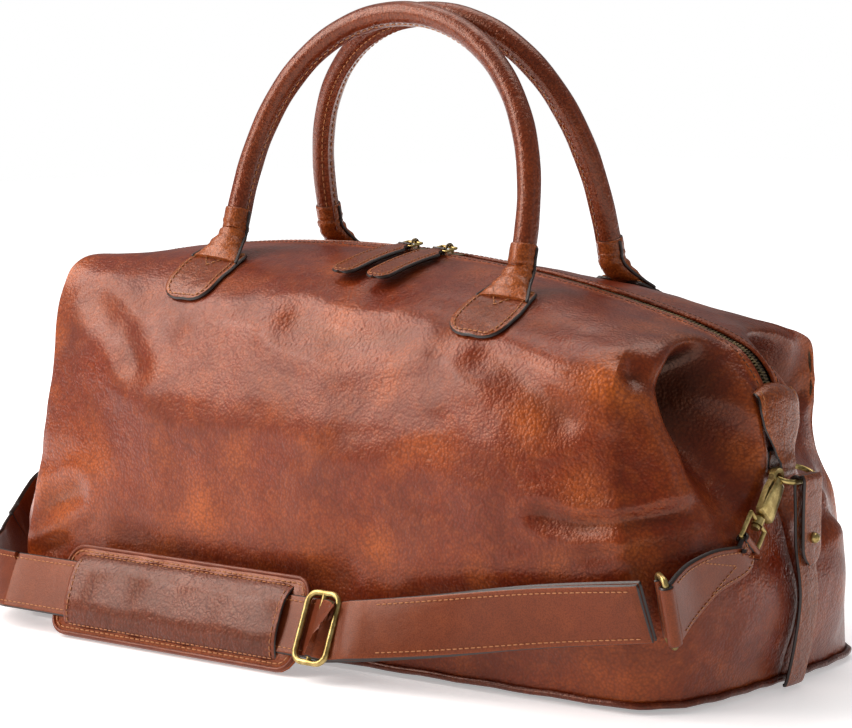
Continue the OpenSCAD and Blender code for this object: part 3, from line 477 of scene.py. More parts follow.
END = [(291, 0, 3), (303, 0, 57), (293, 0, 104), (284, 0, 132), (282, 0, 152), (281.5, 0, 168),
       (281.5, 0, 180), (282, 0, 187)]
# behind, the right wing stands up sharper, and the waist under it is drawn in
EAR = [(260, 124, 3), (262, 126, 57), (257, 124, 110), (247, 117, 150), (247, 112, 215),
       (240, 82, 234), (218, 42, 244), (222, 7, 240)]
EAR_TURN = [(281, 103, 3), (277, 101, 57), (266, 98, 110), (253, 92, 152), (237, 93, 186),
            (245, 82, 221), (240, 36, 237), (246, 7, 234)]
CREST_PEAK, CREST_X, CREST_R, ZIP_GAP = 272.0, -70.0, 1100.0, 14.0
FRONT_STEPS, END_STEPS, ROW_STEPS = 72, 9, 13


def crest(x):
    """Height of the zip's line above a place along the bag."""
    return CREST_PEAK - CREST_R + np.sqrt(CREST_R ** 2 - (x - CREST_X) ** 2)


def placed(p):
    """A control point with the crest's slope added to its height."""
    p = np.array(p, float)
    slope = (crest(p[..., 0]) - crest(-p[..., 0])) / 2 * (p[..., 2] / CREST_PEAK) ** 2
    p[..., 2] = np.where(p[..., 2] <= 3, 3, p[..., 2] + slope)
    return p


def face_net(left, right, side):
    """Columns of one big face from its left corner to its right one; side is -1 for the front."""
    c = np.linspace(-1, 1, FRONT_STEPS + 1)
    mid = np.array(MID, float)
    net = np.zeros((len(c), len(mid), 3))
    for k, share in enumerate(c):
        corner = np.array(right if share > 0 else left, float)
        bend, sink = abs(share) ** 4, abs(share) ** 3
        net[k, :, 0] = share * corner[:, 0]
        net[k, :, 1] = side * (-mid[:, 0] * (1 - bend) + abs(corner[:, 1]) * bend)
        net[k, :, 2] = mid[:, 1] * (1 - sink) + corner[:, 2] * sink
    net = placed(net)
    net[:, -1, 1] = side * ZIP_GAP / 2
    net[:, -1, 2] = crest(net[:, -1, 0]) - 2
    return net


def end_net(near, columns_near, columns_far, far, x_sign):
    """Columns round one end, between the corner columns of the two faces."""
    half = [placed([(x_sign * x, y, z) for x, y, z in col]) for col in columns_near]
    middle = placed([(x_sign * x, 0, z) for x, y, z in END])
    other = [placed([(x_sign * x, abs(y), z) for x, y, z in col]) for col in columns_far][::-1]
    cols = np.array([near] + half + [middle] + other + [far])
    return curve(cols, END_STEPS)[1:-1]


front = face_net(LEFT_CORNER, CORNER, -1)
back = face_net(CORNER, EAR, 1)[::-1]
right = end_net(front[-1], [TURN, RECESS, RIDGE], [EAR_TURN, RECESS, RIDGE], back[0], 1)
left = end_net(front[0], [LEFT_TURN, RECESS, RIDGE], [TURN, RECESS, RIDGE], back[-1], -1)[::-1]
net = np.concatenate([front, right, back, left])
skin = np.array([curve(column, ROW_STEPS) for column in net])
RIGHT_SEAM = FRONT_STEPS + 4 * END_STEPS
LEFT_SEAM = RIGHT_SEAM + FRONT_STEPS + 8 * END_STEPS
print("skin net:", skin.shape[0], "columns by", skin.shape[1], "rows")


# %% [markdown]
# Folds and dents. A crease is a groove along a line, with the leather rising softly beside it,
# and a swelling is a round bump. Each is given in millimetres where the hand would find it. The
# slow waves of a filled, much carried bag come from a fixed noise, the same on every run.

# %% Folds pressed into the skin
def line_distance(points, line):
    best = np.full(points.shape[:-1], 1e9)
    for a, b in zip(line[:-1], line[1:]):
        a, b = np.array(a, float), np.array(b, float)
        t = np.clip(((points - a) @ (b - a)) / ((b - a) @ (b - a)), 0, 1)
        best = np.minimum(best, np.linalg.norm(points - (a + t[..., None] * (b - a)), axis=-1))
    return best


# line, half width, depth, how far the leather stands up beside it
CREASES = [
    ([(196, -132, 118), (225, -130, 113), (252, -122, 116), (278, -98, 122), (292, -76, 128)], 6, 4.0,
     0.45), ([(232, -128, 97), (262, -118, 104), (284, -92, 110)], 5, 2.0, 0.3),
    ([(205, -132, 128), (238, -126, 130), (262, -108, 134)], 4, 1.4, 0.3),
    ([(140, -120, 214), (178, -124, 196), (206, -122, 178)], 11, 2.6, 0.4),
    ([(-20, -112, 226), (30, -118, 216), (70, -114, 222)], 12, 2.4, 0.5),
    ([(-205, -104, 226), (-170, -116, 206), (-150, -124, 186)], 10, 2.6, 0.5),
    ([(-258, -110, 60), (-235, -128, 84), (-205, -134, 96)], 8, 3.4, 0.5),
    ([(-262, -104, 32), (-243, -124, 50), (-222, -132, 56)], 6, 2.6, 0.4),
    ([(-150, -134, 66), (-60, -138, 58), (40, -137, 62)], 13, 2.4, 0.5),
    ([(110, -134, 50), (170, -134, 62), (215, -130, 58)], 12, 2.4, 0.5),
    ([(298, -50, 92), (301, -20, 88)], 5, 1.2, 0.3),
    ([(296, 18, 96), (292, 60, 104), (276, 94, 106)], 7, 2.6, 0.4),
    ([(262, 92, 166), (246, 104, 176), (238, 116, 178)], 5, 2.2, 0.4),
    ([(-296, -60, 100), (-280, -92, 108), (-262, -112, 104)], 7, 2.6, 0.4),
    ([(-294, 40, 104), (-272, 92, 110), (-245, 120, 108)], 7, 2.6, 0.4),
    ([(-60, 118, 216), (30, 122, 206), (90, 116, 214)], 12, 2.4, 0.5),
    ([(-190, 134, 88), (-80, 139, 74), (40, 139, 84)], 14, 2.6, 0.5),
    ([(120, 134, 104), (185, 132, 88), (235, 128, 92)], 11, 2.8, 0.5),
]
# centre, radius, height; a negative height is a dent
SWELLINGS = [
    ((243, -97, 207), 11, -9.0), ((252, -100, 226), 6, 1.0), ((236, -114, 214), 9, 2.5),
    ((264, -103, 168), 14, 2.5), ((0, -135, 120), 85, 2.0), ((-140, -132, 160), 55, 2.0),
    ((150, -132, 150), 60, 2.0), ((-243, -97, 207), 11, -5.0), ((60, -122, 202), 40, -1.6),
    ((232, -124, 30), 26, 2.5), ((-240, -120, 28), 26, 2.0), ((300, 42, 60), 40, 2.5),
    ((0, 136, 125), 90, 2.0), ((-120, 130, 175), 50, -1.6), ((110, 128, 180), 50, 1.6),
    ((300, -30, 60), 30, 1.5), ((250, 112, 212), 8, 2.0), ((-20, -95, 240), 50, 1.5),
]
skin_normals = grid_normals(skin, wrap=True)
press = np.zeros(skin.shape[:2])
groove = np.zeros(skin.shape[:2])
for line, half, deep, rise in CREASES:
    away = line_distance(skin, line) / half
    press += -deep * np.exp(-away ** 2) + deep * rise * np.exp(-((away - 1.9) / 0.9) ** 2)
    groove += deep / 4 * np.exp(-(away * 1.6) ** 2)
for centre, size, height in SWELLINGS:
    press += height * np.exp(-(np.linalg.norm(skin - np.array(centre, float), axis=-1) / size) ** 2)
flat_skin = skin.reshape(-1, 3)
slow = np.array([noise.noise(Vector(p / 62.0)) for p in flat_skin]).reshape(press.shape)
quick_waves = np.array([noise.noise(Vector(p * (1, 1, 1.4) / 23.0 + (7, 3, 1)))
                        for p in flat_skin]).reshape(press.shape)
fine_waves = np.array([noise.noise(Vector(p / 9.5 + (2, 9, 4))) for p in flat_skin]).reshape(press.shape)
press += 2.6 * slow + 0.8 * quick_waves + 0.22 * fine_waves
# nothing moves at the base seam or at the zip, where the leather is sewn down
rows = np.linspace(0, 1, skin.shape[1])
hold = np.clip(rows / 0.08, 0, 1) * np.clip((1 - rows) / 0.1, 0, 1)
press *= hold[None, :]
skin = skin + skin_normals * press[..., None]
# the folded hem along the zip is two layers thick
from_zip = np.linalg.norm(skin - skin[:, -1:], axis=-1)
hem = 1 / (1 + np.exp((from_zip - 6.0) / 0.5))
skin_normals = grid_normals(skin, wrap=True)
skin = skin + skin_normals * (hem * 0.9)[..., None]
skin_normals = grid_normals(skin, wrap=True)

# how the surface bulges, from the bend of the normals over a few millimetres
bulge = np.zeros(press.shape)
for shift, axis in ((3, 0), (3, 1)):
    ahead_p, ahead_n = np.roll(skin, -shift, axis), np.roll(skin_normals, -shift, axis)
    behind_p, behind_n = np.roll(skin, shift, axis), np.roll(skin_normals, shift, axis)
    run = ahead_p - behind_p
    bend = ((ahead_n - behind_n) * run).sum(-1) / np.maximum((run ** 2).sum(-1), 4.0)
    if axis == 1:
        bend[:, :shift], bend[:, -shift:] = 0, 0
    bulge += bend
rub_noise = np.array([noise.noise(Vector(p / 34.0 + (5, 5, 5)))
                      for p in skin.reshape(-1, 3)]).reshape(press.shape)
rubbed = (np.clip((bulge - 0.02) * 14, 0, 0.6) * np.clip(0.7 + rub_noise, 0, 1)
          + np.clip(rub_noise - 0.12, 0, 1) * 0.9)
# places that hands and floors rub most
for centre, size, amount in (((238, -113, 205), 16, 0.7), ((252, -96, 232), 15, 0.7),
                             ((246, -120, 20), 26, 0.6),
                             ((-222, -131, 98), 34, 0.7), ((-60, -137, 100), 40, 0.35),
                             ((-170, -134, 40), 40, 0.4),
                             ((60, -136, 78), 34, 0.35), ((214, -130, 190), 30, 0.35),
                             ((290, 20, 34), 26, 0.4)):
    near = np.linalg.norm((skin - np.array(centre, float)) * (0.6, 1, 1.2), axis=-1) / size
    rubbed += amount * np.exp(-near ** 2) * np.clip(0.75 + 0.6 * rub_noise, 0, 1.2)
rubbed += 0.75 * np.exp(-((from_zip - 4.2) / 2.4) ** 2)
# painted shade: concave places and creases are darkened towards near black, where shade falls in them
painted_hollow_shade = np.clip(-(bulge + 0.03) * 6, 0, 0.55) + 0.45 * np.clip(groove, 0, 1)
# painted shade: the deep pockets beside the zip's ends are darkened most, where shade falls in them
for side in (-1, 1):
    for x in (-1, 1):
        shaded_pocket_distance = np.linalg.norm(skin - np.array([x * 236.0, side * 46.0, 190.0]), axis=-1)
        painted_hollow_shade += 0.9 * np.exp(-(shaded_pocket_distance / 36) ** 2)
print("folds pressed in, from", round(float(press.min()), 1), "to", round(float(press.max()), 1), "mm")


# %% The two panels of the skin
def skin_part(start, stop, low_row=0, high_row=None):
    picks = [(k % len(skin)) for k in range(start, stop + 1)]
    return (skin[picks, low_row:high_row], skin_normals[picks, low_row:high_row],
            {"rubbed": rubbed[picks, low_row:high_row], "painted_hollow_shade": painted_hollow_shade[picks, low_row:high_row]})


for name, start, stop in (("front_panel_leather", LEFT_SEAM - len(skin), RIGHT_SEAM),
                          ("back_panel_leather", RIGHT_SEAM, LEFT_SEAM)):
    face, out, fields = skin_part(start, stop)
    # the two panels meet at a seam: each turns in a little at its end
    face = face.copy()
    face[0] -= out[0] * 0.9
    face[-1] -= out[-1] * 0.9
    made = slab(name, face, 2.2, [body_leather], "bag", fields=fields, normals=out, rim=0.2)
    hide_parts("front_panel" if name.startswith("front") else "back_panel")
    print(name, len(made.data.polygons), "faces")

# the lining hangs inside, a little behind the leather, and stops under the zip tapes
lining_cloth, tree, shader = new_material("cotton_twill_lining")
# Woven cotton: matt, a fine diagonal rib.
place = add(tree, "ShaderNodeTexCoord").outputs["Object"]
twill = add(tree, "ShaderNodeTexWave", {"Scale": 1000 / 4.0, "Distortion": 0.6, "Detail": 2.0,
                                        "bands_direction": "DIAGONAL"}, {"Vector": place})
weave = add(tree, "ShaderNodeMix", {"data_type": "RGBA", 6: colour("#6A5644"), 7: colour("#54432F")},
            {0: twill.outputs[1]})
tree.links.new(weave.outputs[2], shader.inputs["Base Color"])
shader.inputs["Roughness"].default_value = 0.9
relief = add(tree, "ShaderNodeBump", {"Distance": 0.2 * MM}, {"Height": twill.outputs[1]})
tree.links.new(relief.outputs[0], shader.inputs["Normal"])
inner = (skin - skin_normals * 3.0)[::3, 2:-14:2]
inner[:, 0, 2] = np.maximum(inner[:, 0, 2], 7.5)
made = slab("cloth_lining", inner, 0.7, [lining_cloth], "bag", wrap=True)
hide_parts("lining")


# %% [markdown]
# The base: a leather sole over a board, and a corded welt that covers the seam. The welt is a
# round cord wrapped in leather, so it is a closed tube that follows the base's outline.

# %% Base and welt
outline = skin[:, 0].copy()
outward = unit(skin_normals[:, 0] * (1, 1, 0))
shares = np.array([0.0, 0.5, 0.9, 0.97, 1.0])
sole = np.array([[p * (s, s, 0) + (0, 0, 3) for s in shares] for p in outline])
made = slab("base_sole", sole, 3.0, [trim_leather, edge_paint], "bag", wrap=True, rim=0.2)
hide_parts("base_panel")
welt_path = outline + outward * 2.2
welt_path[:, 2] = 4.8 + 0.35 * np.sin(np.arange(len(outline)) * 0.9)
made = tube("base_welt_cord", welt_path[::2], 2.1, [handle_leather], "bag", sides=10,
            closed=True)
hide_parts("base_welt")

# %% [markdown]
# The zip. Each half is a woven tape with its teeth clamped over the tape's edge; the two rows
# mesh alternately. The teeth are separate little blocks, one every two and a half millimetres, as
# on a real metal zip, because a bump on a strip would have no glint of its own.

# %% Metals
def metal(name, base, worn, roughness, dirt="#2A2114", bump=0.04):
    """Solid metal: brushed or plated, with a patina in its noise. It keeps the default IOR."""
    material, tree, shader = new_material(name)
    place = add(tree, "ShaderNodeTexCoord").outputs["Object"]
    stain = add(tree, "ShaderNodeTexNoise", {"Scale": 1000 / 6.0, "Detail": 5.0, "Roughness": 0.65},
                {"Vector": place})
    rubbing = add(tree, "ShaderNodeMapRange", {"From Min": 0.4, "From Max": 0.62},
                  {"Value": stain.outputs[0]})
    tarnish = add(tree, "ShaderNodeMapRange", {"From Min": 0.62, "From Max": 0.8, "To Max": 0.7},
                  {"Value": stain.outputs[0]})
    bright = add(tree, "ShaderNodeMix", {"data_type": "RGBA", 6: colour(base), 7: colour(worn)},
                 {0: rubbing.outputs[0]})
    aged = add(tree, "ShaderNodeMix", {"data_type": "RGBA", 7: colour(dirt)},
               {0: tarnish.outputs[0], 6: bright.outputs[2]})
    tree.links.new(aged.outputs[2], shader.inputs["Base Color"])
    shader.inputs["Metallic"].default_value = 1.0
    rough = add(tree, "ShaderNodeMapRange", {"To Min": roughness - 0.06, "To Max": roughness + 0.12},
                {"Value": stain.outputs[0]})
    tree.links.new(rough.outputs[0], shader.inputs["Roughness"])
    scratches = add(tree, "ShaderNodeTexNoise", {"Scale": 1000 / 0.8, "Detail": 3.0}, {"Vector": place})
    relief = add(tree, "ShaderNodeBump", {"Distance": bump * MM}, {"Height": scratches.outputs[0]})
    tree.links.new(relief.outputs[0], shader.inputs["Normal"])
    return material


antique_brass = metal("antique_brass_plate", "#8E7A48", "#C2AC72", 0.33)
zip_brass = metal("tarnished_zip_brass", "#5E5240", "#A8926A", 0.36, dirt="#1C1711")

tape_cloth, tree, shader = new_material("polyester_zip_tape")
# A herringbone polyester tape: matt, brown-black, with a rib across it.
place = add(tree, "ShaderNodeTexCoord").outputs["Object"]
rib = add(tree, "ShaderNodeTexWave", {"Scale": 1000 / 2.5, "Distortion": 0.3}, {"Vector": place})
weave = add(tree, "ShaderNodeMix", {"data_type": "RGBA", 6: colour("#2C211C"), 7: colour("#43332A")},
            {0: rib.outputs[1]})
tree.links.new(weave.outputs[2], shader.inputs["Base Color"])
shader.inputs["Roughness"].default_value = 0.85
relief = add(tree, "ShaderNodeBump", {"Distance": 0.25 * MM}, {"Height": rib.outputs[1]})
tree.links.new(relief.outputs[0], shader.inputs["Normal"])

# %% Tapes and teeth
zip_columns = [k % len(skin) for k in range(LEFT_SEAM - len(skin) + 5, RIGHT_SEAM - 4)]
zip_line = skin[zip_columns, -1].copy()
zip_line[:, 1] = 0
zip_line = resample(zip_line, step=4.0)
zip_along = unit(np.gradient(zip_line, axis=0))
zip_up = unit(np.cross(zip_along, np.array([0.0, 1, 0])[None]) * -1)
zip_up *= np.sign(zip_up[:, 2:3] + 1e-6)
tooth_line = resample(zip_line, step=2.5)
tooth_along = unit(np.gradient(tooth_line, axis=0))
tooth_up = unit(np.stack([-tooth_along[:, 2], tooth_along[:, 1], tooth_along[:, 0]], 1))
for side, word in ((-1, "front"), (1, "back")):
    share = np.clip(0.3 + 0.05 * np.minimum(np.arange(len(zip_line)), np.arange(len(zip_line))[::-1]), 0, 1)
    widths = np.array([0.0, 0.3, 0.7, 1.0])
    tape = np.array([[p - u * (2.9 + 2.6 * w * s) + np.array([0, side * (1.2 + 14 * w * s), 0])
                      for w in widths]
                     for p, u, s in zip(zip_line, zip_up, share)])
    if side < 0:
        tape = tape[:, ::-1]
    made = slab("zip_tape_" + word, tape, 0.6, [tape_cloth], "bag")
    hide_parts("zip_tape_" + word)
    points, faces = [], []
    for k in range(0 if side < 0 else 1, len(tooth_line), 1):
        # a tooth: a block with a chamfered top, from under the tape's edge to past the middle
        p, d, u = tooth_line[k] + tooth_along[k] * (0 if side < 0 else -1.25), tooth_along[k], tooth_up[k]
        y0, y1 = side * -0.6, side * 3.6
        base = len(points)
        for up, half, trim in ((-3.6, 0.62, 0.0), (-2.0, 0.62, 0.0), (-1.5, 0.4, 0.35)):
            for y, s in ((y0 + side * trim, -1), (y0 + side * trim, 1), (y1 - side * trim, 1),
                         (y1 - side * trim, -1)):
                points.append(p + u * up + d * half * s + np.array([0, y, 0]))
        for j in range(2):
            for i in range(4):
                a, b = base + j * 4 + i, base + j * 4 + (i + 1) % 4
                faces.append((a, b, b + 4, a + 4) if side < 0 else (a + 4, b + 4, b, a))
        faces.append(tuple(base + 8 + i for i in (range(4) if side < 0 else (3, 2, 1, 0))))
        faces.append(tuple(base + i for i in ((3, 2, 1, 0) if side < 0 else range(4))))
    made = finish_mesh("zip_teeth_" + word, points, faces, [zip_brass], "bag", sharp=30)
    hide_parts("zip_teeth_" + word)
print("zip line", round(float(np.linalg.norm(np.diff(zip_line, axis=0), axis=1).sum())), "mm,",
      len(tooth_line), "teeth a side")

# a row of stitches holds each hem down onto its tape
rows_of_stitches = []
for start, stop in ((LEFT_SEAM - len(skin) + 8, RIGHT_SEAM - 8), (RIGHT_SEAM + 8, LEFT_SEAM - 8)):
    picks = [k % len(skin) for k in range(start, stop + 1)]
    path, out = [], []
    for k in picks:
        away = from_zip[k][::-1]
        row = np.interp(4.4, away, np.arange(len(away)))
        i = int(row)
        column, side = skin[k][::-1], skin_normals[k][::-1]
        path.append(column[i] + (column[i + 1] - column[i]) * (row - i))
        out.append(side[i])
    rows_of_stitches.append((np.array(path), np.array(out)))
stitch_rows("zip_hem_stitches", rows_of_stitches, brown_thread, "bag", length=3.0, gap=1.2, width=0.6)

# %% [markdown]
# Sliders and their links are small brass castings, and keep the measured shape. The pulls are two
# layers of leather sewn back to back round a link, so each is a slab with a painted edge, folded
# over the link, with a seam round it.

# %% Brass pieces keep their measured shape
for name, made in NODES.items():
    if name.startswith(("slider", "pull_link")):
        finish = zip_brass if name.startswith("slider") else antique_brass
    elif name.startswith(("ring_", "stud", "hook_body", "trigger", "swivel_eye", "rect_ring",
                          "strap_buckle")):
        finish = antique_brass
    else:
        continue
    made.data.materials.clear()
    made.data.materials.append(finish)
print("brass pieces:", sum(1 for o in NODES.values()
                           if o.data.materials and o.data.materials[0] in (antique_brass, zip_brass)))


# %% Leather pulls
PULL_SLOPE, PULL_WIDTH, PULL_LENGTH = math.radians(8), 19.0, 72.0
LINK_LENGTH, LINK_HEIGHT = 12.0, 4.4


def crest_frame(x):
    """Origin and axes on the zip's crest at x: along the bag, across it, and out."""
    turn = math.asin((x - CREST_X) / CREST_R)
    along = np.array([math.cos(turn), 0, -math.sin(turn)])
    out = np.array([math.sin(turn), 0, math.cos(turn)])
    return np.array([CREST_X, 0, CREST_PEAK - CREST_R]) + out * (CREST_R - 2), along, out


def pull(side, x):
    origin, along, out = crest_frame(x)
    c, s = math.cos(PULL_SLOPE), math.sin(PULL_SLOPE)
    forward = np.array([0, -c, 0]) - out * s
    upward = np.array([0, -s, 0]) + out * c
    centre = origin + out * LINK_HEIGHT + forward * LINK_LENGTH
    # outline: an eye round the link, shoulders, and a rounded tip
    reach = np.concatenate([[2.4, 6.5, 9.5, 12.0], np.linspace(16, PULL_LENGTH - 9.5, 10),
                            PULL_LENGTH - 9.5 + 9.5 * np.sin(np.linspace(0.15, 1.5, 9))])
    half = np.concatenate([[4.8, 4.9, 7.4, 9.2], np.full(10, PULL_WIDTH / 2),
                           PULL_WIDTH / 2 * np.cos(np.linspace(0.15, 1.5, 9))])
    shares = np.array([-1, -0.93, -0.6, -0.2, 0.2, 0.6, 0.93, 1])
    droop = lambda r: -0.0016 * max(0, r - 18) ** 2
    grid = np.array([[centre + forward * r + upward * (1.5 + droop(r) + 0.55 * (1 - a * a))
                      + along * a * h for r, h in zip(reach, half)] for a in shares])
    fields = {"rubbed": np.array([[0.55 * abs(a) ** 6 + 0.2 for r in reach] for a in shares])}
    made = slab("pull_leather_" + side, grid[::-1], 3.0, [trim_leather, edge_paint], "pull_" + side,
                fields=fields, sharp=60)
    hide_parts("pull_tab_" + side)
    ring = [centre + upward * (2.35 * math.sin(a)) + forward * (2.35 * math.cos(a) * -1) for a in
            np.linspace(-1.6, 1.6, 12)]
    fold_grid = np.array([[p + along * w for w in (-4.8, -4.2, 0, 4.2, 4.8)] for p in ring])
    slab("pull_fold_" + side, fold_grid, 1.2, [trim_leather, edge_paint], "pull_" + side)
    inset = 2.2
    row = []
    for r, h in zip(reach[3:], half[3:]):
        row.append((r, max(h - inset, 0.1)))
    row = [(r, h) for r, h in row if r < PULL_LENGTH - inset]
    edge = [(r, h) for r, h in row] + [(r, -h) for r, h in row[::-1]]
    path = np.array([centre + forward * r + upward * (1.55 + droop(r) + 0.55 * (1 - (h / 9.5) ** 2))
                     + along * h
                     for r, h in edge])
    stitch_rows("pull_stitches_" + side, [(path, upward)], tan_thread, "pull_" + side, length=2.6, gap=1.0,
                width=0.65)


pull("left", -5.0)
pull("right", 25.0)
print("pulls made")

# %% [markdown]
# The handles. A cord is rolled into a strip of leather and sewn along the inside of the arch, so
# the tube has a raised ridge with a row of stitches beside it. The tube is swept along the arch,
# and its section gets the ridge. A plain round tube would lose the one line that says "rolled".

# %% Handle arches
NECK_X, NECK_Y, NECK_RISE, HANDLE_HEIGHT, HANDLE_RADIUS = 124.5, 54.0, 6.0, 168.0, 8.0
HANDLE_LEAN = math.asin((NECK_Y - HANDLE_RADIUS - 0.4) / HANDLE_HEIGHT)


def handle_point(a, side, shift=0.0):
    """A point of the arch's middle line; a runs from 0 at the left neck to pi at the right one."""
    rise = max(math.sin(a), 0.0) ** 0.8 * HANDLE_HEIGHT
    low = crest(-NECK_X) + (crest(NECK_X) - crest(-NECK_X)) * (1 - math.cos(a)) / 2 + NECK_RISE
    return np.array([-math.cos(a) * NECK_X + shift * math.sin(a) ** 2,
                     side * (NECK_Y - rise * math.sin(HANDLE_LEAN)), low + rise * math.cos(HANDLE_LEAN)])


def arch(side):
    # the back arch stands a little to the right of the front one
    return resample([handle_point(a, side, 9.0 if side > 0 else -3.0)
                     for a in np.linspace(0.0, math.pi, 181)], step=3.0)


cotton_cord = thread_material("twisted_cotton_cord", "#C9BCA4", "#8F8068")
for side, word in ((-1, "front"), (1, "back")):
    path = arch(side)
    along = unit(np.gradient(path, axis=0))
    centre = np.array([0, side * NECK_Y, crest(0.0) - 20])
    inward = centre - path
    inward = unit(inward - (inward * along).sum(1, keepdims=True) * along)
    lumps = (1 + 0.012 * np.sin(np.arange(len(path)) * 0.53 + side)
             + 0.01 * np.sin(np.arange(len(path)) * 0.21))
    ridge_at = math.radians(90)

    def section(angle, place):
        gap = math.atan2(math.sin(angle - ridge_at), math.cos(angle - ridge_at))
        return 1 + 0.2 * math.exp(-(gap / 0.2) ** 2) - 0.05 * math.exp(-((abs(gap) - 0.5) / 0.2) ** 2)

    twist = unit(inward + np.array([0, -side * 0.55, 0]))
    rub = np.repeat(0.25 + 0.25 * np.sin(np.linspace(0, 9, len(path) + 6)) ** 2, 36)
    made = tube("handle_leather_" + word, path, HANDLE_RADIUS * lumps, [handle_leather], "handle_" + word,
                sides=36, hint=twist, section=section, fields={"rubbed": rub * 0.6})
    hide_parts("handle_cover_" + word)
    cord = tube("handle_cord_" + word, path[1:-1], 5.0, [cotton_cord], "handle_" + word,
                sides=16)
    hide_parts("handle_core_" + word)
    side_way = unit(np.cross(along, twist))
    up_way = unit(np.cross(side_way, along))
    for sign, label in ((1, "near"), (-1, "far")):
        reach = math.radians(90 - sign * 27)
        off = (side_way * math.cos(reach) + up_way * math.sin(reach))
        stitch_rows("handle_stitches_" + word + "_" + label,
                    [((path + off * HANDLE_RADIUS * 0.985)[4:-4], off[4:-4])],
                    tan_thread, "handle_" + word, length=3.4, gap=1.6, width=0.8)
    print("handle", word, "runs", round(len(path) * 3.0), "mm")


# %% [markdown]
# Each handle ends in a patch of thicker leather: a rounded tongue sewn flat on the shoulder, whose
# upper part is wrapped round the end of the handle. The patch is a slab laid on the skin itself,
# point by point, so it follows every swell of the shoulder. The wrapped neck goes from the flat
# top of the patch to the round handle, with creases across it, and follows the start of the handle's arch.

# %% Finding places on the skin
FRONT_SKIN = (skin[:FRONT_STEPS + 1], skin_normals[:FRONT_STEPS + 1])
BACK_START = FRONT_STEPS + 1 + 8 * END_STEPS - 1
BACK_SKIN = (skin[BACK_START:BACK_START + FRONT_STEPS + 1][::-1],
             skin_normals[BACK_START:BACK_START + FRONT_STEPS + 1][::-1])


def on_face(side, x, row):
    """Point and outward direction on the front (-1) or back (1) at x, row counted as in MID."""
    points, out = FRONT_SKIN if side < 0 else BACK_SKIN
    r = row * ROW_STEPS
    i = min(int(r), points.shape[1] - 2)
    column = points[:, i] + (points[:, i + 1] - points[:, i]) * (r - i)
    turn = out[:, i] + (out[:, i + 1] - out[:, i]) * (r - i)
    spot = np.array([np.interp(x, column[:, 0], column[:, k]) for k in range(3)])
    way = np.array([np.interp(x, column[:, 0], turn[:, k]) for k in range(3)])
    return spot, unit(way)


# %% Patches and necks
PATCH_LOW, PATCH_HIGH = 4.22, 5.55


def patch_half(s):
    """Half width of a patch, from its round foot to its top."""
    if s < 0.3:
        return 21.5 * (1 - ((0.3 - s) / 0.3) ** 2.6) ** (1 / 2.6)
    return 21.5 - 4.5 * max(0.0, (s - 0.55) / 0.45) ** 1.5


# half sizes of a neck in millimetres: across and through it on the patch, and round the handle
NECK_WIDE, NECK_THICK, NECK_ROUND = 19.5, 2.6, 9.3


def neck_size(flat, t):
    """Half size at share t of a neck's length, from flat on the patch to round on the handle."""
    ease = min(1.0, (t / 0.62)) ** 0.8
    return flat + (NECK_ROUND - flat) * (3 * ease ** 2 - 2 * ease ** 3)


